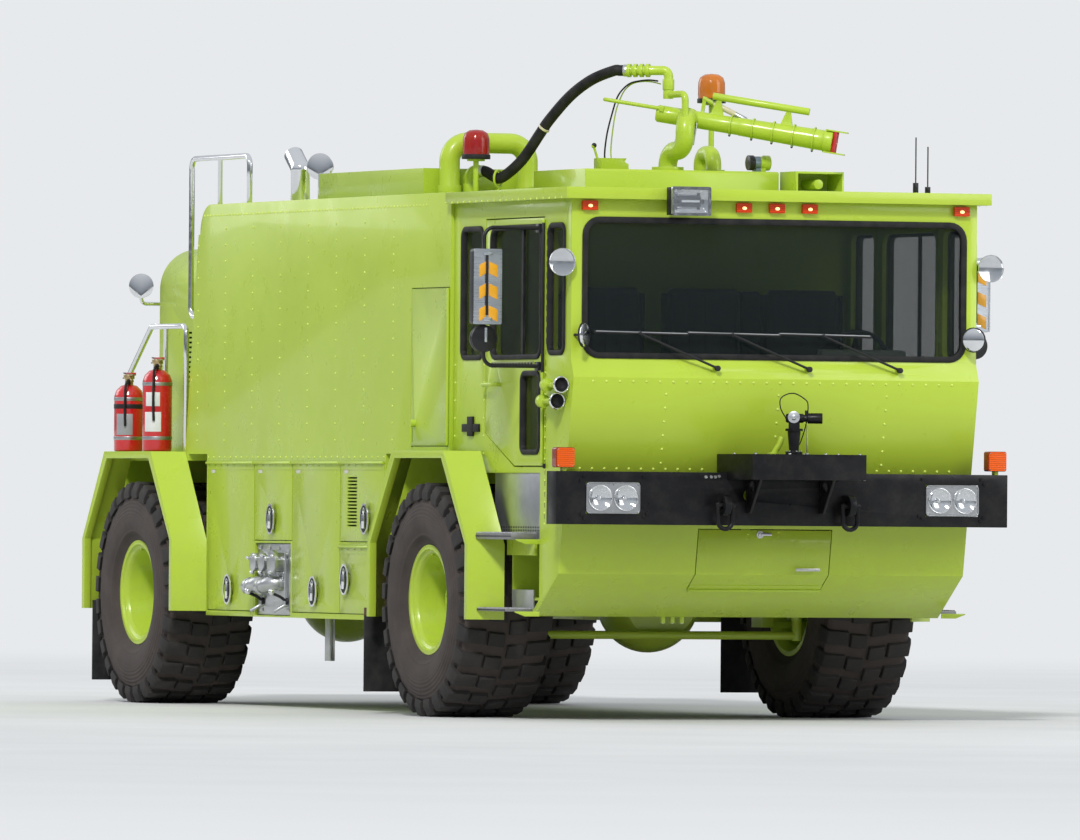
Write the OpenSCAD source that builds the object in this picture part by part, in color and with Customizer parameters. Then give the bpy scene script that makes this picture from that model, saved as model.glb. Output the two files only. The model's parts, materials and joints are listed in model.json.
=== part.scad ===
// Airport fire truck, 4x4 crash tender. Millimetres, front towards -Y, +Z up, wheels on z = 0.
// Lengths along the truck are measured from the front axle and moved by from_axle().

/* [Running gear] */
// Distance between the two axles
wheelbase = 4850; // [4600:10:5100]
// Half the distance between the tyre centres
track_half = 1130; // [1110:5:1140]
// Radius over the tyre lugs, also the height of the wheel centres
tyre_r = 675; // [665:1:685]
// Width over the tyre lugs
tyre_w = 580; // [560:5:590]
// Radius of the rim flange
rim_r = 318; // [310:1:325]
// Half the width over the rim's flanges
rim_half = 238; // [230:1:242]
// Radius of the rim's open barrel
barrel_r = 257; // [250:1:262]
// Lugs round each half of the tread
lug_count = 28; // [20:1:36]
// Height of the tread lugs
lug_h = 24; // [16:1:28]
// How far the steering pins stand inside the tyre centres
kingpin_in = 180; // [172:2:190]
// Radius of the wheel spindles
spindle_r = 70; // [60:1:76]
// Radius of the axle tubes
axle_tube_r = 85; // [75:1:92]
// Radius of the differential bowls
diff_r = 300; // [270:5:310]

/* [Chassis] */
// Half the distance between the frame rails' outer faces
rail_x = 460; // [440:5:465]
// Width of one frame rail
rail_w = 90; // [70:5:95]
// Height of the underside of the rails
rail_z = 830; // [820:5:850]
// Depth of the frame rails
rail_h = 250; // [220:5:260]
// Depth of the spring hangers under the rails
hanger_h = 60; // [50:5:60]
// Half the length of the springs
hanger_y = 680; // [660:5:685]
// Thickness of one spring leaf
leaf_t = 16; // [12:1:16]

/* [Body] */
// Half the width of the tank body
body_x = 1270; // [1260:2:1280]
// Half the width over the fenders
fender_x = 1445; // [1440:1:1455]
// Height of the tank body's underside over the lockers
deck_z = 1520; // [1515:1:1530]
// Height of the tank body's top
tank_top = 3030; // [2990:5:3040]
// Front end of the tank body, from the front axle
tank_front = -58; // [-60:1:-50]
// Rear end of the tank body at its foot, from the rear axle
tank_rear_y = -542; // [-560:2:-520]
// How far the tank body's rear end leans forward at the top
tank_lean = 230; // [150:10:260]
// Radius of the tank body's upper rear corner
tank_corner_r = 180; // [120:10:220]
// Front end of the lockers, from the front axle
locker_front = 950; // [940:2:960]
// Rear end of the lockers, from the rear axle
locker_rear_y = -925; // [-940:5:-920]
// Height of the lockers' underside
locker_z = 545; // [535:5:555]
// Depth of the lockers
locker_depth = 420; // [380:10:460]
// Thickness of the locker doors
door_t = 25; // [18:1:30]
// Open joint round each door and lid
door_gap = 6; // [5:0.5:8]
// Height of the locker doors' hinge line
hinge_z = 1466; // [1460:1:1472]
// Height of the foot of the locker doors
door_foot_z = 575; // [570:1:585]
// Radius of the hinge barrels
hinge_r = 9; // [7:0.5:10]
// Rear end of the rear body, from the rear axle
body_rear_y = 710; // [705:5:730]
// Thickness of the panel across the rear
rear_t = 20; // [12:1:24]
// Half the width of the engine hood
hood_x = 1000; // [960:10:1020]
// Height of the engine hood
hood_top = 2790; // [2740:5:2810]
// Radius of the engine hood's shoulders
hood_r = 250; // [180:10:280]
// Wall of the engine hood
hood_wall = 30; // [20:2:40]
// Rear end of the engine hood, from the rear axle
hood_rear_y = 650; // [630:5:670]

/* [Fenders] */
// Height of the fender tops
fender_top = 1535; // [1530:1:1540]
// Height of the kink in the fender outline
fender_kink_z = 1000; // [980:5:1020]
// Half the length of a fender's flat top
fender_top_y = 410; // [400:5:420]
// Half the length of a fender at its foot
fender_foot_y = 790; // [785:1:800]
// Height of the fender's foot
fender_foot_z = 570; // [560:5:580]
// Thickness of the fender panels
fender_t = 26; // [22:1:30]
// Depth of the flange at the fender's outer edge
fender_lip = 42; // [36:1:44]
// How far a fender's foot spreads at the body side
fender_flare = 140; // [100:5:150]

/* [Cab] */
// Half the width of the cab
cab_x = 1250; // [1244:1:1256]
// Wall of the cab
cab_wall = 60; // [50:2:70]
// Height of the cab floor's top
floor_z = 1450; // [1446:1:1456]
// Height of the cab roof's underside
roof_z = 2900; // [2890:5:2920]
// Thickness of the cab roof
roof_t = 60; // [50:2:70]
// Rear face of the cab, from the front axle
cab_rear = -62; // [-70:1:-62]
// Face of the windshield, from the front axle
screen_y = -1860; // [-1870:1:-1850]
// Crease of the nose, from the front axle
crease_y = -1904; // [-1915:1:-1895]
// Height of the crease of the nose
crease_z = 1952; // [1945:1:1960]
// Kink of the chin, from the front axle
kink_y = -1700; // [-1720:5:-1690]
// Height of the chin's kink
kink_z = 840; // [820:5:860]
// Rear edge of the chin, from the front axle
chin_y = -1346; // [-1360:2:-1340]
// Height of the chin's rear edge
chin_z = 595; // [585:5:605]
// Half the width of the windshield
screen_x = 1170; // [1150:5:1180]
// Foot of the windows
window_z0 = 2075; // [2065:5:2085]
// Head of the windows
window_z1 = 2845; // [2830:5:2850]
// Thickness of the glass
glass_t = 8; // [6:1:10]
// Front edge of the cab doors, from the front axle
door_front = -1454; // [-1460:1:-1450]
// Rear edge of the cab doors, from the front axle
door_rear = -550; // [-560:1:-545]
// Foot of the cab doors
cab_door_z0 = 1443; // [1440:1:1448]
// Head of the cab doors
cab_door_z1 = 2866; // [2860:1:2872]
// How far the roof visor stands out all round
visor_out = 60; // [50:5:70]
// Thickness of the visor
visor_t = 65; // [55:5:75]
// Half the width of the roof deck
deck_x = 605; // [580:5:620]
// Front of the roof deck, from the front axle
deck_y0 = -475; // [-485:5:-465]
// Length of the roof deck
deck_len = 800; // [740:10:820]
// Height of the roof deck's top
deck_top = 3170; // [3150:5:3180]

/* [Bumper] */
// Half the width of the bumper
bumper_x = 1390; // [1380:2:1400]
// Face of the bumper, from the front axle
bumper_y = -2004; // [-2010:1:-1998]
// Height of the bumper's underside
bumper_z = 1120; // [1110:5:1130]
// Height of the bumper bar
bumper_h = 300; // [290:5:310]
// Depth of the bumper's end returns
bumper_d = 148; // [130:2:150]
// Plate thickness of the bumper
bumper_t = 14; // [10:1:18]
// Half the width of the box on the bumper
box_x = 350; // [330:5:360]
// Face of the box on the bumper, from the front axle
box_y = -2380; // [-2400:5:-2360]
// Radius of the headlamp lenses
lamp_r = 68; // [62:1:72]

/* [Monitors] */
// Yaw axis of the roof monitor, from the front axle
monitor_y = -250; // [-260:5:-240]
// Outer radius of the roof monitor's water pipe
pipe_r = 54; // [48:1:58]
// Height of the roof monitor's pitch axis
pitch_z = 3475; // [3460:5:3490]
// Length of the roof monitor's barrel ahead of its pitch axis
barrel_len = 830; // [780:10:860]
// Bearing of the roof monitor's barrel from straight ahead
monitor_turn = 60; // [50:1:66]
// How far the barrel points below level
monitor_dip = 9; // [6:0.5:10]
// Yaw axis of the bumper monitor, from the front axle
nozzle_y = -2150; // [-2170:5:-2130]
// Height of the bumper monitor's pitch axis
nozzle_z = 1730; // [1720:2:1740]

/* [Fittings] */
// Centreline radius of the bends in the handrails
rail_bend = 60; // [45:5:70]
// Reach of the door mirrors beyond the cab
mirror_out = 345; // [330:5:350]
// How far the left mirror is swept back
left_sweep = 335; // [300:5:350]
// Radius of the handrail tube
rail_tube_r = 17; // [14:1:20]
// Radius of the roof hose
hose_r = 32; // [28:1:35]
// Radius of the extinguishers
bottle_r = 90; // [80:1:92]

/* [Hidden] */
$fn = 48;
LIME = "#b4d435";
BLACK = "#17181a";
STEEL = "#b9bcc0";
RUBBER = "#2e2a28";
GLASS = "#3c5258";
RED = "#c3161c";
AMBER = "#e2711a";
// Clearances: a running fit in the radius, and a seat that is clear but looks closed
run = 0.05;
seat = 0.3;
e = 1;
// Rear reach of the fenders and front reach of the bumper box place the origin
rear_reach = wheelbase + fender_foot_y;
fa = -(rear_reach + box_y) / 2;
wheel_z = tyre_r;
// Rear ends of the body, from the front axle
tank_rear = wheelbase + tank_rear_y;
locker_rear = wheelbase + locker_rear_y;
body_rear = wheelbase + body_rear_y;
hood_rear = wheelbase + hood_rear_y;
// Steering pins, and the ends of the axle tubes inside them
kingpin_x = track_half - kingpin_in;
tube_x = kingpin_x - 250;
bead_r = rim_r - 20;
rail_in = rail_x - rail_w;
rail_front = -1600;
horn_z = bumper_z + 30;
horn_h = 150;
// Plane of the nose between crease and kink
nose_lean = (kink_y - crease_y) / (crease_z - kink_z);
function nose_y(z) = crease_y + (crease_z - z) * nose_lean;
// Places and sizes that several pieces share
// End of the left steering arm, and its thickness
arm_at = [kingpin_x - 130, -290];
arm_t = 38;
// Locker doors: front and rear end along the side, from the front axle
door_rear_y = [locker_rear - 815, locker_rear - 12];
door_pump_y = [2475, locker_rear - 815];
door_mid_y = [1683, 2475];
door_vent_y = [locker_front + 12, 1683];
// Foot of the two shorter doors, and the lintel under them
pump_z = 1000;
vent_z = 1000;
lintel = 30;
head_z = hinge_z - 2;
hatch_y = [-40, 560];
hatch_z = [1560, 2483];
rear_door_x = 420;
rear_door_z = [1100, 1480];
// Side windows of one side: rear end, front end, foot and head
quarter_rear = [-186, -516, 2069, 2815];
quarter_front = [-1515, -1762, 2088, 2816];
door_window = [-640, -1410, 2067, 2813];
low_window = [-1115, -1395, 1525, 1979];
nose_wall = 45;
skirt_y = -1410;
floor_t = 40;
chin_door_x = 415;
chin_door_z = [755, 1100];
wiper_x = [-375, 191, 752];
wiper_z = 2010;
wiper_y = -1906;
// Recess behind the steps, open to the side
well_x = 900;
well_y = -950;
step_z = 620;
mirror_z = [2015, 2800];
// Seats: x and y of each
seat_at = [[-620, -780], [0, -780], [620, -780], [-400, -170], [400, -170]];
dash_y = crease_y + cab_wall + 12;
wheel_at = [620, 330.3, 2030.2];
visor_z = roof_z + roof_t + seat;
lamp_w = 330;
lamp_h = 178;
lamp_at = [1045, 1270];
box_h = 105;
marker_x = [-1147, -203, 0, 203, 1147];
step_x = 1400;
upper_z = 1030;
tank_end = tank_rear - tank_lean * (2355 - deck_z) / (tank_top - deck_z);
// Extinguishers: y and size
bottles = [[wheelbase - 270, 1], [wheelbase + 230, 0.82]];
// Foot of the valve elbow beside the monitor
valve = [400, 20];
u_y = 750;
u_x = [-964, -474];
hose_end = [-200, -100, 3752];
hose_start = [-804, 680, 3172];
swivel_z = 3640;
// Route of the hose over the roof
hose_points = [hose_start + [0.9, -1.2, 0], [-778, 645, 3171], [-750, 611, 3148], [-722, 577, 3131],
    [-684, 531, 3160],
    [-633, 466, 3226], [-593, 415, 3301], [-553, 365, 3388], [-511, 310, 3475], [-428, 205, 3608],
    [-344, 86, 3700], [-264, -52, 3750], [-232, -76, 3752], hose_end + [-1.2, 0.9, 0]];
// Beacons: x, y, foot and lens height
beacons = [[-880, 545, tank_top + seat, 3240], [489, 270, deck_top + seat, 3585]];
pitch_x = 120;
riser_y = -160;
riser_z = deck_top + 115;
hub_y = -66;
arm_z = 3612;
// Bumper monitor
nozzle_turn = 65 - 90;
mount_at = [[-1450, floor_z - floor_t], [-300, floor_z - floor_t], [900, deck_z], [2400, deck_z],
    [locker_rear - 25, deck_z]];

module from_axle() translate([0, fa, 0]) children();
module sides() { children(); mirror([1, 0, 0]) children(); }
// A profile drawn as [y, z], extruded along x from x0 to x1
module along_x(x0, x1) translate([x0, 0, 0]) rotate([90, 0, 90]) linear_extrude(x1 - x0) children();
// A profile drawn as [x, y], extruded from z0 to z1
module along_z(z0, z1) translate([0, 0, z0]) linear_extrude(z1 - z0) children();
module rod(a, b, r) {
    d = b - a;
    translate(a) rotate([0, acos(d.z / norm(d)), atan2(d.y, d.x)]) cylinder(r = r, h = norm(d));
}
// Round bar through the points, with true bends of radius bend between its straights
function unit(v) = v / norm(v);
module bent_tube(p, r, bend) {
    n = len(p) - 1;
    // Length taken from the straights by the bend at each point
    cut = [for (i = [0 : n]) i == 0 || i == n ? 0
        : bend * tan(acos(unit(p[i] - p[i - 1]) * unit(p[i + 1] - p[i])) / 2)];
    for (i = [0 : n - 1]) if (norm(p[i + 1] - p[i]) > cut[i] + cut[i + 1] + 0.01)
        rod(p[i] + unit(p[i + 1] - p[i]) * cut[i], p[i + 1] - unit(p[i + 1] - p[i]) * cut[i + 1], r);
    for (i = [1 : n - 1]) {
        a = unit(p[i] - p[i - 1]);
        b = unit(p[i + 1] - p[i]);
        k = unit(cross(a, b));
        m = cross(k, a);
        c = p[i] - a * cut[i] + m * bend;
        multmatrix([[-m.x, a.x, k.x, c.x], [-m.y, a.y, k.y, c.y], [-m.z, a.z, k.z, c.z], [0, 0, 0, 1]])
            rotate_extrude(angle = acos(a * b)) translate([bend, 0]) circle(r);
    }
}
// Round bar through the points with a slightly stouter knee at each corner
module knee_tube(p, r) {
    for (i = [0 : len(p) - 2]) rod(p[i], p[i + 1], r);
    for (i = [1 : len(p) - 2]) translate(p[i]) sphere(r = r * 1.06);
}
module disc_x(x, y, z, r, h) translate([x, y, z]) rotate([0, 90, 0]) cylinder(r = r, h = h);
module round_rect(w, h, r) {
    translate([r, 0]) square([w - 2 * r, h]);
    translate([0, r]) square([w, h - 2 * r]);
    for (x = [r, w - r], y = [r, h - r]) translate([x, y]) circle(r);
}
// Box with its low corner at a and its high corner at b
module block(a, b) translate(a) cube(b - a);

// Chassis
module chassis_frame() color(BLACK) from_axle() {
    cross_y = [-1250, -750, 900, 1900, wheelbase - 1950, wheelbase - 850, wheelbase + 500];
    difference() {
        union() {
            sides() block([rail_in, rail_front, rail_z],
                [rail_x, body_rear - rear_t - seat, rail_z + rail_h]);
            // Mounts of the cab and of the tank body
            for (m = mount_at) sides()
                block([rail_in + 5, m[0], rail_z + rail_h - 1], [rail_x, m[0] + 100, m[1] - seat]);
            // Horns that carry the bumper
            sides() block([rail_in, rail_front, rail_z + rail_h - 1],
                [rail_x, rail_front + 120, horn_z + 1]);
            sides() block([rail_in, bumper_y + bumper_t + seat, horn_z],
                [rail_x, rail_front + 120, horn_z + horn_h]);
            for (y = cross_y) block([-rail_in, y, rail_z + 40], [rail_in, y + 90, rail_z + rail_h - 40]);
            // Spring hangers under each rail
            for (a = [0, wheelbase], y = [-hanger_y, hanger_y - 60])
                sides() block([rail_in + 10, a + y, rail_z - hanger_h],
                    [rail_x - 10, a + y + 60, rail_z + 1]);
        }
        // The rails are channels, open towards the middle
        sides() block([rail_in - 1, rail_front + 150, rail_z + 20],
            [rail_x - 16, body_rear, rail_z + rail_h - 20]);
    }
    for (y = cross_y) sides()
        block([rail_in - 2, y, rail_z + 40], [rail_x - 16, y + 90, rail_z + rail_h - 40]);
}

module axle_housing() {
    translate([0, 0, wheel_z]) rotate([90, 0, 0]) {
        intersection() {
            sphere(r = diff_r);
            cube([2 * diff_r, 2 * diff_r, 2 * diff_r - 190], center = true);
        }
    }
    disc_x(-tube_x, 0, wheel_z, axle_tube_r, 2 * tube_x);
}

module leaf_springs() {
    // Leaves: half length and place below the longest one
    leaves = [[hanger_y, 0], [560, 1], [430, 2], [300, 3]];
    sides() {
        for (l = leaves)
            block([rail_in + 14, -l[0], rail_z - hanger_h - leaf_t * (l[1] + 1) - 0.5],
                [rail_x - 14, l[0], rail_z - hanger_h - leaf_t * l[1]]);
        block([rail_in + 5, -90, wheel_z], [rail_x - 5, 90, rail_z - hanger_h - 4 * leaf_t + 1]);
    }
}

module front_axle() color(LIME) from_axle() {
    difference() {
        union() {
            axle_housing();
            leaf_springs();
            // Forks that carry the kingpins
            sides() difference() {
                union() {
                    block([tube_x - 10, -80, wheel_z - 150], [tube_x + 60, 80, wheel_z + 150]);
                    for (z = [-150, 115]) {
                        block([tube_x + 50, -60, wheel_z + z], [kingpin_x, 60, wheel_z + z + 35]);
                        translate([kingpin_x, 0, wheel_z + z]) cylinder(r = 60, h = 35);
                    }
                }
                translate([kingpin_x, 0, 0]) cylinder(r = 30 + run, h = 3000);
            }
        }
    }
}

module rear_axle() color(LIME) from_axle() translate([0, wheelbase, 0]) {
    axle_housing();
    leaf_springs();
    disc_x(-track_half - 60, 0, wheel_z, spindle_r, 2 * track_half + 120);
}

module engine_block() color(STEEL) from_axle()
    block([-rail_in - 50, tank_rear + 110, rail_z + rail_h + seat],
        [rail_in + 50, body_rear - 210, hood_top - 540]);

module knuckle() {
    translate([kingpin_x, 0, 0]) {
        translate([0, 0, wheel_z - 108]) cylinder(r = 62, h = 216);
        translate([0, 0, wheel_z - 150]) cylinder(r = 30, h = 300);
    }
    disc_x(kingpin_x, 0, wheel_z, spindle_r, track_half + 60 - kingpin_x);
    // Steering arm, bored for the tie rod's pin
    translate([0, 0, wheel_z - 108]) linear_extrude(arm_t) difference() {
        union() {
            translate(arm_at) circle(30);
            polygon([arm_at + [-28, -10], arm_at + [28, 12], [kingpin_x + 30, -20], [kingpin_x - 40, 0]]);
        }
        translate(arm_at) circle(15 + run);
    }
}
module knuckle_right() color(LIME) from_axle() mirror([1, 0, 0]) knuckle();
module knuckle_left() color(LIME) from_axle() knuckle();
module tie_rod() color(LIME) from_axle() {
    rod_z = wheel_z - 195;
    eye_z = wheel_z - 108 - seat;
    disc_x(-arm_at.x, arm_at.y, rod_z, 24, 2 * arm_at.x);
    sides() translate([arm_at.x, arm_at.y, rod_z - 30]) cylinder(r = 30, h = eye_z - rod_z + 30);
    // Pin in the left arm; the right end is open
    translate([arm_at.x, arm_at.y, eye_z - 1]) cylinder(r = 15, h = arm_t);
}

// Wheels, drawn for the left side with x measured from the tyre's middle
module tyre() {
    half = tyre_w / 2;
    root_r = tyre_r - lug_h;
    // One side of the section, from the bead to the tread: radius and distance from the middle
    flank = [[bead_r, rim_half - 38], [rim_r + 14, rim_half - 6], [rim_r + 50, half - 28],
        [rim_r + 120, half - 2], [root_r - 90, half - 12], [root_r - 22, half - 44], [root_r, half - 90]];
    n = len(flank);
    rotate([0, 90, 0]) {
        rotate_extrude($fn = 72) polygon(concat(
            [for (i = [0 : n - 1]) [flank[i][0], -flank[i][1]]],
            [for (i = [n - 1 : -1 : 0]) flank[i]]));
        tread_band(root_r, 14, half - 26, 0);
        tread_band(root_r, -half + 26, -14, 180 / lug_count);
    }
}
// One half of the tread as a toothed ring
module tread_band(root_r, z0, z1, turn) {
    pitch = 360 / lug_count;
    tooth = [[0, 0], [0.06, 1], [0.56, 1], [0.64, 0]];
    translate([0, 0, z0]) rotate(turn) linear_extrude(z1 - z0) difference() {
        polygon([for (i = [0 : lug_count - 1], t = tooth)
            let (a = (i + t[0]) * pitch, r = root_r - 8 + t[1] * (lug_h + 8)) [r * cos(a), r * sin(a)]]);
        circle(r = root_r - 60, $fn = 72);
    }
}
module rim() {
    h = rim_half;
    bs = bead_r - seat;
    well = barrel_r + 14;
    rotate([0, 90, 0]) rotate_extrude($fn = 72) polygon([
        // Bead seats and drop centre under the tyre
        [rim_r, -h], [rim_r, -h + 16], [bs, -h + 37], [bs, -h + 90], [well, -h + 120], [well, h - 120],
        [bs, h - 90], [bs, h - 37], [rim_r, h - 16], [rim_r, h],
        // Lock ring, gutter and barrel
        [rim_r - 26, h], [rim_r - 32, h - 14], [barrel_r + 12, h - 22], [barrel_r, h - 44],
        // Disc and hub
        [barrel_r, -16], [215, -16], [150, 24], [110, 24], [110, 84], [90, 100], [0, 100], [0, 61],
        [spindle_r + run, 61], [spindle_r + run, -80], [110, -80], [110, 4], [146, 4], [211, -36],
        [barrel_r, -36], [barrel_r, -h + 40], [rim_r - 30, -h]
    ]);
}
module tyre_at(x, y) color(RUBBER) from_axle() translate([x, y, wheel_z]) tyre();
module rim_at(x, y) color(LIME) from_axle() translate([x, y, wheel_z]) mirror([x < 0 ? 1 : 0, 0, 0]) rim();
module tyre_front_right() tyre_at(-track_half, 0);
module tyre_front_left() tyre_at(track_half, 0);
module tyre_rear_right() tyre_at(-track_half, wheelbase);
module tyre_rear_left() tyre_at(track_half, wheelbase);
module rim_front_right() rim_at(-track_half, 0);
module rim_front_left() rim_at(track_half, 0);
module rim_rear_right() rim_at(-track_half, wheelbase);
module rim_rear_left() rim_at(track_half, wheelbase);

// Tank body with its locker recesses

module tank_outline() {
    top_y = tank_rear - tank_lean;
    difference() {
        polygon([[tank_front, deck_z], [tank_front, tank_top], [top_y, tank_top], [tank_rear, deck_z]]);
        translate([top_y - tank_corner_r, tank_top - tank_corner_r]) difference() {
            square(2 * tank_corner_r);
            circle(tank_corner_r);
        }
    }
}
// Recess for a door between y0 and y1, z0 and z1, with the locker behind it
module locker_cut(y, z0, z1) {
    block([body_x - door_t, y[0], z0], [body_x + e, y[1], z1]);
    block([body_x - locker_depth, y[0] + 30, z0 + 20], [body_x, y[1] - 30, z1 - 20]);
}
module tank_body() color(LIME) from_axle() {
    difference() {
        union() {
            along_x(-body_x, body_x) tank_outline();
            // Lockers hang beside the chassis
            sides() block([rail_x + 40, locker_front, locker_z], [body_x, locker_rear, deck_z + e]);
            // Rear body over and behind the rear wheels
            block([-body_x, tank_rear - 60, deck_z - 40], [body_x, body_rear, fender_top]);
            block([-body_x, body_rear - rear_t, fender_foot_z + 200], [body_x, body_rear, deck_z]);
        }
        // Right side: five doors and the pump panel's bay
        mirror([1, 0, 0]) {
            locker_cut(door_rear_y, door_foot_z, head_z);
            locker_cut(door_pump_y, pump_z, head_z);
            locker_cut(door_mid_y, door_foot_z, head_z);
            locker_cut(door_vent_y, vent_z, head_z);
            locker_cut(door_vent_y, door_foot_z, vent_z - lintel);
            block([body_x - 90, door_pump_y[0] + 20, door_foot_z - 20],
                [body_x + e, door_pump_y[1] - 20, pump_z - 12]);
            // Opening of the side hatch
            block([body_x - door_t, hatch_y[0], hatch_z[0]], [body_x + e, hatch_y[1], hatch_z[1]]);
            block([body_x - 300, hatch_y[0] + 30, hatch_z[0] + 30],
                [body_x, hatch_y[1] - 30, hatch_z[1] - 30]);
        }
        // Left side: three doors
        locker_cut([door_pump_y[0], door_rear_y[1]], door_foot_z, head_z);
        locker_cut(door_mid_y, door_foot_z, head_z);
        locker_cut(door_vent_y, door_foot_z, head_z);
        // Engine bay and the door behind it
        block([-hood_x + hood_wall + 20, tank_rear + 40, 1000],
            [hood_x - hood_wall - 20, body_rear - 60, fender_top + e]);
        block([-rear_door_x, body_rear - rear_t - e, rear_door_z[0]],
            [rear_door_x, body_rear + e, rear_door_z[1]]);
    }
}

// Locker door in its recess, hinged along its head, with handle and hinge barrel
module locker_door(y, z0, z1, slots = 0, latch = [0, 130]) {
    y0 = y[0] + door_gap;
    y1 = y[1] - door_gap;
    top = hinge_line(z1);
    latch_y = (y0 + y1) / 2 + latch[0];
    latch_z = z0 + latch[1];
    difference() {
        union() {
            block([body_x - door_t + seat, y0, z0 + door_gap], [body_x, y1, top - door_gap]);
            // Hinge leaf and barrel
            block([body_x - 1, y0, top - 40], [body_x + 3, y1, top - door_gap]);
            block([body_x + seat, y0, top - door_gap - 1], [body_x + 3, y1, top]);
            translate([body_x + hinge_r + seat, y0, top]) rotate([-90, 0, 0])
                cylinder(r = hinge_r, h = y1 - y0);
        }
        // Louvres
        if (slots > 0) for (i = [0 : slots - 1])
            block([body_x - door_t - e, y1 - 263, top - 93 - i * 20],
                [body_x + 4, y1 - 109, top - 83 - i * 20]);
        // Pan of the paddle latch
        disc_x(body_x - 12, latch_y, latch_z, 50, 20);
    }
    disc_x(body_x - 13, latch_y, latch_z, 34, 9);
    block([body_x - 5, latch_y - 10, latch_z - 32], [body_x + 3, latch_y + 10, latch_z + 32]);
}
function hinge_line(z1) = z1 + 2;
module right_door() color(LIME) from_axle() mirror([1, 0, 0]) children();
module left_door() color(LIME) from_axle() children();
module locker_door_rear_right() right_door() locker_door(door_rear_y, door_foot_z, head_z);
module locker_door_pump_right() right_door() locker_door(door_pump_y, pump_z, head_z);
module locker_door_mid_right() right_door() locker_door(door_mid_y, door_foot_z, head_z);
module locker_door_vent_right() right_door() locker_door(door_vent_y, vent_z, head_z, 15, [-80, 137]);
module locker_door_low_right() right_door() locker_door(door_vent_y, door_foot_z, vent_z - lintel, 0,
    [238, 204]);
module locker_door_rear_left() left_door() locker_door([door_pump_y[0], door_rear_y[1]], door_foot_z,
    head_z);
module locker_door_mid_left() left_door() locker_door(door_mid_y, door_foot_z, head_z);
module locker_door_vent_left() left_door() locker_door(door_vent_y, door_foot_z, head_z, 15, [0, 560]);

// Hatch in the tank body's right side, hinged along its front edge
module side_hatch() right_door() {
    y0 = hatch_y[0] + door_gap;
    y1 = hatch_y[1] - door_gap;
    z0 = hatch_z[0] + door_gap;
    z1 = hatch_z[1] - door_gap;
    block([body_x - door_t + seat, y0, z0], [body_x, y1, z1]);
    // Hinge leaf and barrel
    block([body_x - 1, y0, z0], [body_x + 3, y0 + 30, z1]);
    block([body_x + seat, hatch_y[0], z0], [body_x + 3, y0 + 1, z1]);
    translate([body_x + hinge_r + seat, hatch_y[0], z0]) cylinder(r = hinge_r, h = z1 - z0);
    // Lever handle
    disc_x(body_x - 1, y1 - 60, z0 + 130, 22, 30);
    rod([body_x + 22, y1 - 60, z0 + 130], [body_x + 22, y1 - 60, z0 + 20], 9);
}

// Pump panel: stainless plate with caps and two outlet elbows
module pump_panel() color(STEEL) right_door() {
    y0 = door_pump_y[0] + 24;
    y1 = door_pump_y[1] - 24;
    z0 = door_foot_z - 16;
    z1 = pump_z - 16;
    ym = (y0 + y1) / 2;
    block([body_x - 20, y0, z0], [body_x - 14, y1, z1]);
    // Suction caps
    for (c = [[ym - 150, 58], [ym + 20, 40], [ym + 160, 40]]) {
        disc_x(body_x - 15, c[0], z1 - 110, c[1], 60);
        disc_x(body_x + 44, c[0], z1 - 110, c[1] + 14, 26);
    }
    // Outlets, bent to the rear and a little down
    for (y = [ym - 120, ym + 90]) translate([0, y, z0 + 190]) rotate([-8, 0, 0]) {
        disc_x(body_x - 15, 0, 0, 48, 30);
        bent_tube([[body_x - 10, 0, 0], [body_x + 60, 0, 0], [body_x + 60, 140, 0]], 42, 55);
        translate([body_x + 60, 118, 0]) rotate([-90, 0, 0]) cylinder(r = 50, h = 46);
    }
    // Drain pipe under the lockers
    translate([body_x - 370, ym, 285]) cylinder(r = 30, h = locker_z - 285 - seat);
    // Valve rods with lever handles
    for (y = [ym - 210, ym + 190]) {
        rod([body_x, y, z0 + 60], [body_x, y, z1 - 60], 7);
        for (z = [z0 + 60, z1 - 62]) disc_x(body_x - 15, y, z, 12, 20);
        rod([body_x + 2, y, z0 + 60], [body_x + 62, y + 20, z0 + 20], 9);
    }
}

// Rear engine hood: round shoulders, hollow, open underneath
module hood_outline(inset) {
    x = hood_x - inset;
    r = hood_r - inset;
    top = hood_top - inset;
    polygon([[-x, fender_top], [x, fender_top], [x, top - r], [x - r, top - r], [x - r, top],
        [-x + r, top], [-x + r, top - r], [-x, top - r]]);
    for (s = [-1, 1]) translate([s * (x - r), top - r]) circle(r);
}
module engine_hood() color(LIME) from_axle() {
    front = tank_rear + seat;
    vent_y = wheelbase + 80;
    difference() {
        translate([0, hood_rear, 0]) rotate([90, 0, 0])
            linear_extrude(hood_rear - tank_rear + tank_lean) hood_outline(0);
        translate([0, hood_rear - hood_wall, 0]) rotate([90, 0, 0]) linear_extrude(hood_rear)
            hood_outline(hood_wall);
        // The hood's front edge follows the tank body's leaning end
        along_x(-body_x - e, body_x + e) polygon([[front + 1, deck_z - e],
            [front - tank_lean, tank_top + 1],
            [front - 900, tank_top + 1], [front - 900, deck_z - e]]);
        // Louvres in the sides and in the rear
        sides() for (i = [0 : 13])
            block([hood_x - hood_wall - e, vent_y, 1870 + i * 30],
                [hood_x + e, vent_y + 140, 1883 + i * 30]);
        for (i = [0 : 13])
            block([-500, hood_rear - hood_wall - e, 1700 + i * 40], [500, hood_rear + e, 1720 + i * 40]);
    }
}
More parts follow.
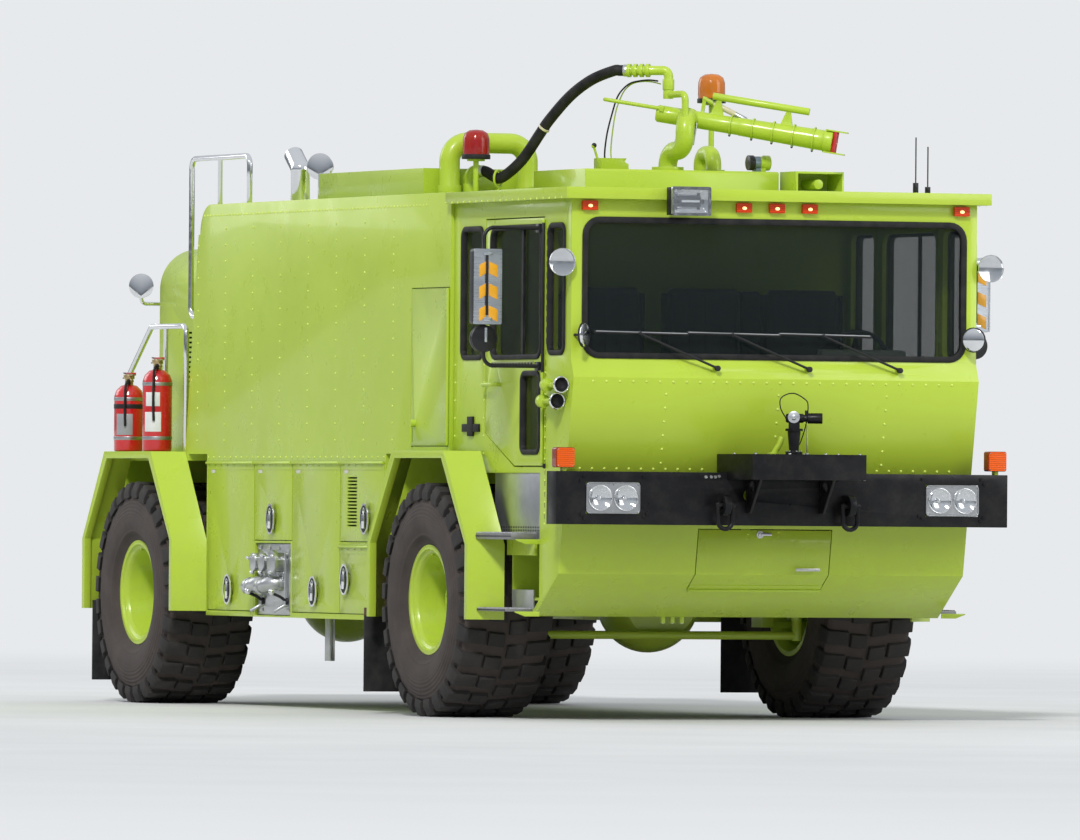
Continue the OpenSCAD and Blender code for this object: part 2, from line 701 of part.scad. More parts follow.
// Drop door behind the engine
module rear_door() color(LIME) from_axle() {
    x = rear_door_x - door_gap;
    foot = rear_door_z[0];
    block([-x, body_rear - rear_t, foot + 2], [x, body_rear, rear_door_z[1] - door_gap]);
    block([-x, body_rear - 1, foot + 2], [x, body_rear + 3, foot + 40]);
    block([-x, body_rear + seat, foot - 2], [x, body_rear + 3, foot + 3]);
    disc_x(-x, body_rear + hinge_r + seat, foot - 2, hinge_r, 2 * x);
    for (s = [-1, 1]) translate([s * 300, body_rear - 1, rear_door_z[1] - 80]) rotate([-90, 0, 0])
        cylinder(r = 30, h = 12);
}

// Fenders: flared eight-sided arches with a flange at the outer edge
// Outline of one arch as [y, z]: front and back are how far its legs spread
module arch_outline(front, back, inset) {
    foot_z = fender_foot_z - (inset > 0 ? e : 0);
    z = fender_top - inset;
    polygon([[inset - fender_foot_y - front, foot_z], [inset - fender_foot_y - front, fender_kink_z],
        [inset - fender_top_y - front, z], [fender_top_y + back - inset, z],
        [fender_foot_y + back - inset, fender_kink_z], [fender_foot_y + back - inset, foot_z]]);
}
module fender_solid(back, inset) {
    d = inset > 0 ? e : 0;
    hull() {
        along_x(body_x + seat - d, body_x + seat - d + 1) arch_outline(fender_flare, back, inset);
        along_x(fender_x - 1 - d * fender_lip, fender_x - d * fender_lip) arch_outline(0, 0, inset);
    }
}
module fender(back) {
    difference() {
        fender_solid(back, 0);
        fender_solid(back, fender_t);
        along_x(fender_x - fender_lip - 2, fender_x + e) arch_outline(0, 0, fender_lip);
    }
}
module fenders() color(LIME) from_axle() {
    sides() fender(fender_flare);
    // The rear fenders end square behind the wheels
    translate([0, wheelbase, 0]) sides() fender(0);
}

// Cab

module cab_outer() polygon([[cab_rear, floor_z - floor_t], [cab_rear, roof_z + roof_t],
    [screen_y, roof_z + roof_t], [screen_y, window_z0 - 20], [crease_y, crease_z],
    [nose_y(floor_z - floor_t), floor_z - floor_t]]);
module cab_inner() polygon([[cab_rear - cab_wall, floor_z], [cab_rear - cab_wall, roof_z],
    [screen_y + cab_wall, roof_z], [screen_y + cab_wall, window_z0 - 20],
    [crease_y + cab_wall, crease_z], [nose_y(floor_z) + cab_wall, floor_z]]);
// Nose and chin below the floor, as one folded panel
module chin_outline() polygon([[nose_y(floor_z - floor_t), floor_z - floor_t + 1], [kink_y, kink_z],
    [chin_y, chin_z], [chin_y + 30, chin_z + 30], [kink_y + nose_wall, kink_z + 22],
    [nose_y(floor_z) + nose_wall, floor_z - floor_t + 1]]);
module skirt_outline() {
    t = (skirt_y - kink_y) / (chin_y - kink_y);
    polygon([[nose_y(floor_z - floor_t), floor_z - floor_t + 1], [kink_y, kink_z],
        [skirt_y, kink_z + (chin_z - kink_z) * t], [skirt_y, floor_z - floor_t + 1]]);
}
// A window opening in a side wall, drawn as [y, z]
module window_hole(w, r, grow = 0) translate([w[1] - grow, w[2] - grow])
    round_rect(w[0] - w[1] + 2 * grow, w[3] - w[2] + 2 * grow, r);
module door_outline(gap) polygon([[door_front + gap, cab_door_z0 + gap],
    [door_front + gap, cab_door_z1 - gap],
    [door_rear - gap, cab_door_z1 - gap], [door_rear - gap, 1640], [-1010 - gap, cab_door_z0 + gap]]);

module cab_shell() color(LIME) from_axle() {
    difference() {
        union() {
            along_x(-cab_x, cab_x) cab_outer();
            along_x(-cab_x, cab_x) chin_outline();
            sides() {
                along_x(cab_x - 30, cab_x) skirt_outline();
                stair_well();
            }
        }
        along_x(-cab_x + cab_wall, cab_x - cab_wall) cab_inner();
        sides() along_x(cab_x - cab_wall - e, cab_x + e) {
            door_outline(0);
            window_hole(quarter_rear, 50);
            window_hole(quarter_front, 50);
        }
        // Windshield opening
        translate([-screen_x, screen_y + cab_wall + e, window_z0]) rotate([90, 0, 0])
            linear_extrude(cab_wall + 60) round_rect(2 * screen_x, window_z1 - window_z0, 90);
        // Horns of the chassis pass through the nose
        sides() block([rail_in - 2, crease_y - 10, horn_z - 2],
            [rail_x + 2, rail_front + 200, horn_z + horn_h + 2]);
        // Opening of the chin door
        block([-chin_door_x, kink_y - 200, chin_door_z[0]], [chin_door_x, chin_y, chin_door_z[1]]);
    }
    // Bosses of the wiper pivots
    for (x = wiper_x) translate([x, wiper_y + 60, wiper_z]) rotate([90, 0, 0]) cylinder(r = 18, h = 60);
}
module stair_well() {
    t = 16;
    top = floor_z - floor_t + 1;
    block([well_x, skirt_y - t, step_z + 64], [well_x + t, well_y + t, top]);
    block([well_x, well_y, step_z + 64], [cab_x - 25 - seat, well_y + t, top]);
    block([well_x, skirt_y - t, step_z + 64], [cab_x - 29, skirt_y, top]);
    block([well_x, skirt_y - t, step_z + 64], [cab_x - 31, well_y + t, step_z + 64 + t]);
}

// Folded access door in the chin, hinged along its foot
module chin_door() color(LIME) from_axle() {
    g = door_gap;
    x = chin_door_x - g;
    foot = chin_door_z[0];
    run_y = chin_y - kink_y;
    rise = kink_z - chin_z;
    intersection() {
        along_x(-x, x) chin_outline();
        block([-x, kink_y - 200, foot + 2], [x, chin_y, chin_door_z[1] - g]);
    }
    // Hinge leaf and barrel lie on the chin's slope
    along_x(-x, x) translate([kink_y + (kink_z - foot) * run_y / rise, foot])
        rotate(180 - atan(rise / run_y)) {
        translate([6, -1]) square([38, 4]);
        translate([0, seat]) square([10, 3 - seat]);
        translate([0, hinge_r + seat]) circle(hinge_r);
    }
}
module pane_x(x, w, r) along_x(x, x + glass_t) window_hole(w, r, -seat);
module cab_glass() color(GLASS) from_axle() {
    sides() {
        pane_x(cab_x - 30, quarter_rear, 50);
        pane_x(cab_x - 30, quarter_front, 50);
    }
    translate([-screen_x + seat, screen_y + 30, window_z0 + seat]) rotate([90, 0, 0])
        linear_extrude(glass_t) round_rect(2 * screen_x - 2 * seat, window_z1 - window_z0 - 2 * seat, 90);
}

// Cab door with its two windows, drawn for the left side; sweep sets its mirror back
module cab_door(sweep) {
    difference() {
        along_x(cab_x - cab_wall, cab_x) door_outline(door_gap + 2);
        along_x(cab_x - cab_wall - e, cab_x + e) {
            window_hole(door_window, 70);
            window_hole(low_window, 45);
        }
    }
    // Hinge barrel and its leaf
    z0 = cab_door_z0 + 20;
    h = cab_door_z1 - cab_door_z0 - 40;
    translate([cab_x + hinge_r + seat, door_front, z0]) cylinder(r = hinge_r, h = h);
    block([cab_x - 1, door_front + door_gap + 2, z0], [cab_x + 3, door_front + 36, z0 + h]);
    block([cab_x + seat, door_front, z0], [cab_x + 3, door_front + door_gap + 3, z0 + h]);
    // Pull handle
    bent_tube([[cab_x - 1, -600, 1915], [cab_x + 42, -600, 1915], [cab_x + 42, -790, 1915],
        [cab_x - 1, -790, 1915]], 12, 24);
    // Mirror loop, head and round mirror
    arm_y = door_front + 64;
    out = cab_x + mirror_out;
    head_y = arm_y + sweep;
    for (z = mirror_z)
        block([cab_x - 1, arm_y - 25, z - 25], [cab_x + 22, arm_y + 25, z + 25]);
    span = norm([mirror_out, sweep]);
    translate([cab_x, arm_y, 0]) rotate(atan2(sweep, mirror_out))
        bent_tube([[10, 0, mirror_z[1]], [span, 0, mirror_z[1]], [span, 0, mirror_z[0]],
            [10, 0, mirror_z[0]]], 11, 60);
    translate([out - 92, head_y + 20, 2248]) rotate([90, 0, 0]) linear_extrude(60) round_rect(172, 430, 20);
    translate([out, head_y + 25, 2168]) rotate([90, 0, 0]) cylinder(r = 77, h = 40);
}
module cab_door_right() color(LIME) from_axle() mirror([1, 0, 0]) cab_door(0);
module cab_door_left() color(LIME) from_axle() cab_door(left_sweep);
module door_panes() {
    pane_x(cab_x - 34, door_window, 70);
    pane_x(cab_x - 34, low_window, 45);
}
module door_glass_right() color(GLASS) from_axle() mirror([1, 0, 0]) door_panes();
module door_glass_left() color(GLASS) from_axle() door_panes();

module cab_seats() color(BLACK) from_axle()
    for (s = seat_at) translate([s[0], s[1], floor_z]) {
        block([-160, -420, seat], [160, -40, 320]);
        translate([-250, -500, 319]) linear_extrude(110) round_rect(500, 490, 70);
        translate([-240, 40, 400]) rotate([90, 0, 0]) linear_extrude(100) round_rect(480, 640, 90);
    }
module cab_dash() color(BLACK) from_axle() {
    x = cab_x - cab_wall - seat;
    y = dash_y;
    along_x(-x, x) polygon([[y + 140, floor_z + 320], [y + 60, floor_z + 330], [y + 2, 1960],
        [y + 70, 2050], [y + 210, 2040], [y + 330, 1930]]);
    // Centre console down to the floor
    along_x(-250, 250) polygon([[y + 150, floor_z + seat], [y + 139, floor_z + 330], [y + 320, 1935],
        [y + 420, 1700], [y + 420, floor_z + seat]]);
    // Hood over the instruments
    along_x(360, 880) polygon([[y + 120, 2030], [y + 130, 2120], [y + 190, 2130], [y + 240, 2020]]);
    // Steering column
    rod([wheel_at.x, y + 220, 1960], [wheel_at.x, y + 330, 2030], 32);
}
module steering_wheel() color(BLACK) from_axle()
    translate([wheel_at.x, dash_y + wheel_at.y, wheel_at.z]) rotate([-57.5, 0, 0]) {
        translate([0, 0, 24]) rotate_extrude() translate([225, 0]) circle(14);
        for (a = [0, 120, 240]) rotate(a + 30) rod([0, 0, 20], [216, 0, 24], 11);
        cylinder(r = 45, h = 34);
    }

// Roof panel with its visor, and the raised deck that runs on over the tank body
module roof_deck() color(LIME) from_axle() {
    x = cab_x + visor_out;
    top = visor_z + visor_t;
    block([-x, screen_y - visor_out - 12, visor_z], [x, cab_rear, top]);
    along_x(-deck_x, deck_x) polygon([[deck_y0, top - 1], [deck_y0, deck_top - 12],
        [deck_y0 + 12, deck_top],
        [deck_y0 + deck_len, deck_top], [deck_y0 + deck_len, tank_top + seat],
            [cab_rear - 1, tank_top + seat],
        [cab_rear - 1, top - 1]]);
}

// Bumper: a folded plate bar with tow eyes and shackles
module bumper() color(BLACK) from_axle() {
    t = bumper_t;
    y1 = bumper_y + bumper_d;
    difference() {
        block([-bumper_x, bumper_y, bumper_z], [bumper_x, y1, bumper_z + bumper_h]);
        block([-bumper_x + t, bumper_y + t, bumper_z + t], [bumper_x - t, y1 + e, bumper_z + bumper_h - t]);
        // Lamp openings and the hand hole
        for (s = [-1, 1]) translate([s * lamp_at.x - lamp_w / 2 - seat, bumper_y - e,
            lamp_at.y - lamp_h / 2 - seat])
            cube([lamp_w + 2 * seat, t + 2 * e, lamp_h + 2 * seat]);
        translate([-215, bumper_y - e, 1292]) rotate([-90, 0, 0]) cylinder(r = 32, h = t + 2 * e);
    }
}
// Tow eyes on the bumper with their shackles
module tow_shackles() color(BLACK) from_axle()
    for (s = [-1, 1]) translate([s * 385, bumper_y - seat, 1235]) {
        translate([-20, 0, 0]) rotate([90, 0, 90]) linear_extrude(40) difference() {
            union() {
                translate([-60, -60]) square([60, 120]);
                translate([-60, 0]) circle(60);
            }
            translate([-66, 0]) circle(24);
        }
        translate([0, -66, -30]) {
            translate([-60, 0, 29]) rotate([0, 90, 0]) cylinder(r = 14, h = 120);
            for (x = [-44, 44]) translate([x, 0, -60]) cylinder(r = 13, h = 104);
            translate([0, 0, -60]) rotate([-90, 0, 0]) rotate_extrude(angle = 180) translate([44, 0])
                circle(13);
        }
    }
module bumper_box() color(BLACK) from_axle() {
    z0 = bumper_z + bumper_h + seat;
    top = z0 + box_h;
    difference() {
        union() {
            block([-box_x, box_y, z0 - 40], [box_x, bumper_y - seat, top]);
            block([-box_x, bumper_y - seat - e, z0], [box_x, bumper_y + bumper_d, top]);
        }
        // Open underneath, with a seat ring for the monitor left in the top plate
        block([-box_x + 12, box_y + 12, z0 - 41], [box_x - 12, bumper_y - 12, top - 12]);
    }
    // Gussets under the box
    for (s = [-1, 1]) difference() {
        along_x(s * 225 - 8, s * 225 + 8) polygon([[box_y + 60, top - 11], [bumper_y - seat, top - 11],
            [bumper_y - seat, z0 - 230], [bumper_y - 60, z0 - 230]]);
        translate([s * 225 - 20, bumper_y - 90, z0 - 80]) rotate([0, 90, 0]) cylinder(r = 32, h = 40);
    }
}
module headlamps() color(STEEL) from_axle()
    for (s = [-1, 1]) translate([s * lamp_at.x, bumper_y, lamp_at.y]) rotate([90, 0, 0]) {
        translate([-lamp_w / 2, -lamp_h / 2, -26]) linear_extrude(30) round_rect(lamp_w, lamp_h, 22);
        for (x = [-78, 78]) translate([x, 0, 3]) cylinder(r1 = lamp_r, r2 = lamp_r - 12, h = 14);
    }
module signal_lamps() color(AMBER) from_axle() {
    for (s = [-1, 1]) translate([s * 1331, bumper_y + 5, bumper_z + bumper_h + seat]) {
        block([-12, 20, 0], [12, 60, 25]);
        translate([-57, 70, 20]) rotate([90, 0, 0]) linear_extrude(70) round_rect(114, 114, 12);
    }
    for (x = marker_x) block([x - 46, screen_y - 26, 2896], [x + 46, screen_y - seat, 2950]);
}

// Flood lamp, spot lamps, small mirrors, air horns and wipers on the cab
module cab_fittings() color(STEEL) from_axle() {
    // Flood lamp on the visor
    y = screen_y - visor_out - 12 - seat;
    block([-706, y - 90, roof_z - 30], [-466, y, roof_z + 135]);
    for (s = [-1, 1]) {
        // Spot lamps beside the window posts
        translate([s * 1322, screen_y - 40, 2600]) {
            translate([0, 56, 0]) rotate([0, -s * 90, 0]) cylinder(r = 14, h = 1322 - cab_x - seat);
            rotate([90, 0, 0]) lamp_bowl(76);
        }
        // Small round mirrors
        rod([s * 1232, screen_y - 3, 2190], [s * 1205, screen_y - 76, 2190], 7);
        translate([s * 1205, screen_y - 70, 2190]) rotate([90, 0, s * -42]) cylinder(r = 72, h = 14);
    }
    // Nozzles under the chin
    for (x = [-455, -398, -340]) translate([x, chin_y + 14, chin_z - 22]) {
        cylinder(r = 7, h = 29 - seat);
        translate([0, 0, -14]) cylinder(r1 = 9, r2 = 15, h = 16);
    }
    // Air horns below the right window: y of the bell and height
    for (h = [[-1849, 1908], [-1789, 1816]]) translate([-1300, h[0], h[1]]) {
        block([30, 150, -16], [50 - seat, 190, 16]);
        rotate([-90, 0, 0]) rotate_extrude() polygon([[0, 20], [34, 6], [40, 0], [46, 0], [46, 10],
            [26, 70],
            [16, 150], [16, 200], [38, 205], [38, 245], [0, 245]]);
        translate([0, 160, -12]) cube([32, 20, 24]);
    }
    // Wipers: hub, arm and blade
    for (x = wiper_x) {
        translate([x, wiper_y - seat, wiper_z]) rotate([90, 0, 0]) cylinder(r = 16, h = 22);
        rod([x, wiper_y - 14, wiper_z], [x - 480, wiper_y + 8, 2206], 8);
        rod([x - 750, wiper_y + 14, 2208], [x - 170, wiper_y + 14, 2200], 10);
    }
}

// Steps ahead of the front wheels, cut back along the fenders
function step_end(x, z) = -(fender_flare * (fender_x - x) / (fender_x - body_x)
    + (z < fender_kink_z ? fender_foot_y
        : fender_foot_y - (fender_foot_y - fender_top_y) * (z - fender_kink_z)
            / (fender_top - fender_kink_z))) - 4;
module step_plate(x0, x1, y0, z, t) along_z(z, z + t)
    polygon([[x0, y0], [x1, y0], [x1, step_end(x1, z)], [x0, step_end(x0, z)]]);
module cab_steps() color(STEEL) from_axle() sides() {
    // Polished kick panel and the upper tread
    block([cab_x - 25, skirt_y + seat, upper_z], [cab_x - 10, -700, floor_z - floor_t - seat]);
    step_plate(cab_x - 11, step_x, skirt_y + 60, upper_z, 36);
    along_x(cab_x - 11, cab_x + 6) polygon([[skirt_y + 60, upper_z - 90], [skirt_y + 60, upper_z + 1],
        [step_end(cab_x, upper_z), upper_z + 1], [step_end(cab_x, upper_z), upper_z - 90]]);
    // Lower tread with the riser behind it
    step_plate(cab_x - 29.7, step_x, -1270, step_z, 16);
    along_x(cab_x - 29.7, cab_x - 20) polygon([[-1270, step_z + 15], [-1270, step_z + 64 + 60],
        [well_y - seat, step_z + 64 + 60], [well_y - seat, step_z + 15]]);
}
module mud_flaps() color(RUBBER) from_axle() {
    // Behind the front wheels on the lockers, behind the rear wheels on the rear panel
    for (y = [locker_front - 12 - seat, body_rear + seat]) sides() {
        block([860, y, 130], [1400, y + 12, 620]);
        block([860, y, 619], [body_x - 15, y + 12, 900]);
    }
}

// Handrail over the tank body's upper rear corner, guard rail, exhaust stack and lamps
module body_rails() color(STEEL) from_axle() translate([0, wheelbase, 0]) {
    r = rail_tube_r;
    x = 55 - body_x;
    // Handrail: front leg, rear leg and top
    y = [-1467, -475];
    top = tank_top + 285;
    foot = tank_top + seat;
    bent_tube([[x, y[0], foot], [x, y[0], top], [x, y[1], top], [x, y[1], 2355],
        [x, tank_end - wheelbase + 4, 2355]], r, rail_bend);
    rod([x, (y[0] + y[1]) / 2 + 7, foot], [x, (y[0] + y[1]) / 2 + 7, top], r - 2);
    // Guard rail: front leg, corner, slanted run and rear leg
    gx = 30 - body_x;
    g = [-470, 140, 540];
    guard = fender_top + seat;
    bent_tube([[gx, g[0], guard], [gx, g[0], 2300], [gx, g[1], 2300]], r, rail_bend);
    knee_tube([[gx, g[1] - 10, 2300], [gx, g[1], 2300], [gx, g[2], 2000], [gx, g[2], guard]], r);
    rod([gx, -110, guard], [gx, -110, 2300], r - 2);
    // Exhaust stack
    knee_tube([[-1000, -1760, foot], [-1000, -1760, tank_top + 200], [-1000, -1640, tank_top + 290]], 58);
    // Lamp beside it
    rod([-1000, -2090, foot], [-1000, -2090, tank_top + 170], 14);
    translate([-1000, -2090, tank_top + 210]) rotate([90, 0, -40]) lamp_bowl(80);
    // Rear spot lamp on its arm
    arm = hood_rear_y + 60;
    bent_tube([[-700, hood_rear_y + seat, 2450], [-700, arm, 2450], [-1100, arm, 2450],
        [-1100, arm, 2500]], 12, 30);
    translate([-1100, arm, 2560]) rotate([90, 0, -30]) lamp_bowl(76);
}
// Spun bowl of a spot lamp, lens towards +Z
module lamp_bowl(r) rotate_extrude()
    polygon([[0, -90], [34, -84], [r * 0.83, -50], [r, 0], [r, 12], [0, 12]]);
module extinguishers() color(RED) from_axle()
    for (b = bottles) translate([-1352, b[0], fender_top + seat]) {
        h = 500 * b[1];
        rotate_extrude() polygon([[0, 0], [bottle_r - 8, 0], [bottle_r, 8], [bottle_r, h - 70],
            [bottle_r - 12, h - 36],
            [bottle_r - 40, h - 8], [24, h], [24, h + 34], [34, h + 34], [34, h + 60], [0, h + 60]]);
        translate([-12, -90, h + 55]) cube([24, 120, 18]);
        rod([0, 0, h + 46], [0, -60, h + 20], 9);
    }

// Pipework on the roof
module roof_pipework() color(LIME) from_axle() {
    r = 60;
    z = tank_top + 370 - r;
    foot = tank_top + seat;
    bent_tube([[u_x[0], u_y, foot], [u_x[0], u_y, z], [u_x[1], u_y, z], [u_x[1], u_y, foot]], r, 110);
    for (x = u_x) translate([x, u_y, foot]) cylinder(r = r + 10, h = 60);
    // Long box along the tank's top
    block([-1100, 820, foot], [-480, 2520, tank_top + 160]);
    // Elbow that feeds the hose
    translate([-840, 728, foot]) cylinder(r = 46, h = 70);
    bent_tube([[-840, 728, foot + 60], [-840, 728, hose_start.z], hose_start], 38, 40);
    // Ring guide of the hose on its post
    translate([-725, 583, 3128]) rotate([90, 0, 40]) rotate_extrude() translate([50, 0]) circle(7);
    translate([-725, 583, foot]) cylinder(r = 9, h = 45);
    // Console with its lever
    translate([-155, 235, deck_top + seat]) {
        difference() {
            block([-85, -60, 0], [85, 60, 80]);
            translate([60, -61, 60]) rotate([0, 30, 0]) cube([60, 122, 60]);
        }
        rod([-78, 0, 50], [-112, 0, 150], 7);
        translate([-112, 0, 150]) sphere(r = 13);
    }
    // Swivel elbow over the monitor, with the hose coupling
    translate([0, monitor_y, swivel_z]) cylinder(r = 34, h = 60);
    bent_tube([[0, monitor_y, swivel_z + 50], [0, monitor_y, hose_end.z], hose_end], 27, 34);
    for (t = [0.45, 0.6, 0.75, 0.9]) translate([hose_end.x * t, monitor_y + (hose_end.y - monitor_y) * t,
        hose_end.z])
        rotate([0, 90, atan2(hose_end.y - monitor_y, hose_end.x)]) cylinder(r = 39, h = 20);
    // Valve and elbow beside the monitor
    v = deck_top + seat;
    bent_tube([[valve.x, valve.y, v], [valve.x, valve.y, riser_z], [valve.x, valve.y + 180, riser_z],
        [valve.x, valve.y + 180, v]], 46, 70);
    translate([valve.x, valve.y, v]) cylinder(r = 66, h = 18);
}
// Point t of 0 to 1 between b and c on a smooth curve through a, b, c and d
function smooth(a, b, c, d, t) = 0.5 * (2 * b + (c - a) * t + (2 * a - 5 * b + 4 * c - d) * t * t
    + (3 * b - a - 3 * c + d) * t * t * t);
function smooth_path(p, k) = let (n = len(p) - 1) concat([for (i = [0 : n - 1], j = [0 : k - 1])
    smooth(p[max(i - 1, 0)], p[i], p[i + 1], p[min(i + 2, n)], j / k)], [p[n]]);
// Round tube of many sides swept along the points; side is level and square to the route
module swept_tube(p, r, sides, side) {
    n = len(p);
    ring = [for (i = [0 : n - 1]) let (d = unit(p[min(i + 1, n - 1)] - p[max(i - 1, 0)]),
        u = unit(cross(side, d)),
        v = cross(d, u)) for (k = [0 : sides - 1]) p[i] + r * (u * cos(360 * k / sides)
            + v * sin(360 * k / sides))];
    polyhedron(ring, concat(
        [[for (k = [0 : sides - 1]) k]],
        [for (i = [0 : n - 2], k = [0 : sides - 1]) let (a = i * sides, b = a + sides, m = (k + 1) % sides)
            [a + k, b + k, b + m, a + m]],
        [[for (k = [sides - 1 : -1 : 0]) (n - 1) * sides + k]]));
}
module roof_hose() color(BLACK) from_axle() swept_tube(smooth_path(hose_points, 4), hose_r, 12,
    [0.783, 0.622, 0]);

module roof_beacons() color(AMBER) from_axle()
    for (b = beacons) translate([b[0], b[1], 0]) {
        translate([0, 0, b[2]]) cylinder(r = 16, h = b[3] - b[2]);
        translate([0, 0, b[3] - 1]) rotate_extrude() polygon([[0, 0], [84, 0], [84, 26], [80, 28],
            [78, 120],
            [68, 150], [40, 168], [0, 172]]);
    }
module roof_warning() color(LIME) from_axle() {
    top = visor_z + visor_t + seat;
    // Horn speaker: a square trumpet with its driver in the mouth
    translate([785, -560, top]) {
        difference() {
            block([-150, -100, 0], [150, 140, 145]);
            block([-138, -101, 12], [138, 120, 133]);
        }
        translate([0, 121, 72]) rotate([90, 0, 0]) cylinder(r = 28, h = 200);
    }
    // Siren on the deck's edge
    translate([520, -380, deck_top + seat]) {
        block([-30, -30, 0], [30, 30, 20]);
        translate([-70, 0, 52]) rotate([0, 90, 0]) rotate_extrude()
            polygon([[0, 0], [44, 0], [44, 30], [38, 36],
            [38, 90], [44, 96], [44, 130], [0, 130]]);
    }
    // Aerials on the visor
    for (a = [[900, -1780, 60, 260], [1010, -1700, 40, 230]]) translate([a[0], a[1], top]) {
        cylinder(r = 16, h = a[2]);
        cylinder(r = 4, h = a[2] + a[3]);
    }
}

// Roof monitor: x runs along the barrel at rest, y to the barrel's left
module monitor_frame() translate([0, monitor_y, 0]) rotate(monitor_turn - 90) children();
module monitor_base() color(LIME) from_axle() monitor_frame() {
    r = pipe_r;
    foot = deck_top + seat;
    translate([0, 0, foot]) cylinder(r = 92, h = 22);
    // S-shaped riser, then the elbow into the pitch joint
    reach = norm([pitch_x, riser_y]);
    rotate(atan2(riser_y, pitch_x))
        bent_tube([[0, 0, foot + 10], [0, 0, riser_z], [reach, 0, riser_z], [reach, 0, riser_z + 95]], r,
            90);
    bent_tube([[pitch_x, riser_y, riser_z + 95], [pitch_x, riser_y, pitch_z], [pitch_x, hub_y, pitch_z]],
        r, 90);
    // Pin of the pitch joint
    translate([pitch_x, hub_y - 1, pitch_z]) rotate([-90, 0, 0]) cylinder(r = 20, h = 60);
    // Arm up to the swivel over the yaw axis
    bent_tube([[pitch_x, riser_y, pitch_z - 35], [pitch_x, riser_y, arm_z], [0, 0, arm_z]], 20, 40);
    translate([0, 0, arm_z - 24]) cylinder(r = 30, h = swivel_z - seat - arm_z + 24);
}
module monitor_barrel() color(LIME) from_axle() monitor_frame()
    translate([pitch_x, 0, pitch_z]) rotate([0, monitor_dip, 0]) {
    difference() {
        union() {
            rotate([0, 90, 0]) rotate_extrude() polygon([[0, -190], [42, -190], [50, -180], [50, 300],
                [52, 302],
                [60, barrel_len - 70], [60, barrel_len - 30], [68, barrel_len - 28], [68, barrel_len + 20],
                [56, barrel_len + 24], [46, barrel_len - 60], [0, barrel_len - 60]]);
            translate([0, 40, 0]) rotate([90, 0, 0]) cylinder(r = 60, h = 40 - hub_y - seat);
        }
        translate([0, 0, 0]) rotate([90, 0, 0]) cylinder(r = 20 + run, h = -hub_y + e);
    }
    // Thin pipe above the barrel, with its stays
    rod([120, 0, 150], [690, 0, 150], 21);
    for (x = [150, 560]) along_y(-8, 8) polygon([[x - 30, 40], [x + 50, 40], [x + 20, 140], [x, 140]]);
    // Plates over and under the nozzle
    for (z = [-1, 1]) translate([barrel_len - 20, -50, z * 64 - 4]) cube([120, 100, 8]);
    // Steering loop on its bracket
    block([-170, -58, 14], [-146, 58, 44]);
    bent_tube([[-150, -46, 30], [-500, -46, 30], [-500, 46, 30], [-150, 46, 30]], 11, 34);
    // Elevation cylinder
    rod([60, 30, 130], [320, 20, 48], 13);
    translate([60, 20, 40]) cube([20, 18, 100]);
}
// A profile drawn as [x, z], extruded along y from y0 to y1
module along_y(y0, y1) translate([0, y1, 0]) rotate([90, 0, 0]) linear_extrude(y1 - y0) children();

module nozzle_base() color(BLACK) from_axle() translate([0, nozzle_y, 0]) {
    z0 = bumper_z + bumper_h + seat + box_h;
    translate([0, 0, z0 + seat]) cylinder(r = 48, h = 16);
    translate([0, 0, z0 + 10]) cylinder(r1 = 26, r2 = 38, h = nozzle_z - z0 - 80);
    rotate(nozzle_turn) difference() {
        union() {
            translate([0, 0, nozzle_z - 72]) cylinder(r = 50, h = 14);
            for (y = [-50, 38]) {
                block([-30, y, nozzle_z - 60], [30, y + 12, nozzle_z]);
                translate([0, y, nozzle_z]) rotate([-90, 0, 0]) cylinder(r = 30, h = 12);
            }
        }
        translate([0, -60, nozzle_z]) rotate([-90, 0, 0]) cylinder(r = 12 + run, h = 120);
    }
}
module nozzle_head() color(BLACK) from_axle() translate([0, nozzle_y, nozzle_z]) rotate(nozzle_turn) {
    translate([0, -56, 0]) rotate([-90, 0, 0]) cylinder(r = 12, h = 112);
    translate([0, -37.5, 0]) rotate([-90, 0, 0]) cylinder(r = 30, h = 75);
    rotate([0, 90, 0]) rotate_extrude() polygon([[0, -48], [20, -48], [26, -40], [26, 50], [20, 56],
        [20, 74],
        [30, 78], [30, 160], [24, 160], [16, 110], [0, 110]]);
    translate([60, -5, 15]) cube([14, 10, 30]);
}

chassis_frame();
front_axle();
rear_axle();
engine_block();
tie_rod();
knuckle_right();
knuckle_left();
rim_front_right();
rim_front_left();
rim_rear_right();
rim_rear_left();
tyre_front_right();
tyre_front_left();
tyre_rear_right();
tyre_rear_left();
tank_body();
fenders();
pump_panel();
engine_hood();
rear_door();
locker_door_rear_right();
locker_door_pump_right();
locker_door_mid_right();
locker_door_vent_right();
locker_door_low_right();
locker_door_rear_left();
locker_door_mid_left();
locker_door_vent_left();
side_hatch();
cab_shell();
cab_glass();
cab_door_right();
cab_door_left();
door_glass_right();
door_glass_left();
cab_seats();
cab_dash();
steering_wheel();
roof_deck();
bumper();
tow_shackles();
bumper_box();
headlamps();
signal_lamps();
cab_fittings();
chin_door();
cab_steps();
mud_flaps();
body_rails();
extinguishers();
roof_pipework();
roof_hose();
roof_beacons();
roof_warning();
monitor_base();
monitor_barrel();
nozzle_base();
nozzle_head();
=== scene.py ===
"""Looks of an airport fire truck, built in Blender round its CAD frame.

Places are in millimetres from the middle of the front axle, as in the CAD source:
x towards the truck's left side, y towards its rear, z up from the ground.
"""

import json
import math

import bmesh
import bpy
from mathutils import Matrix, Vector
from mathutils.bvhtree import BVHTree


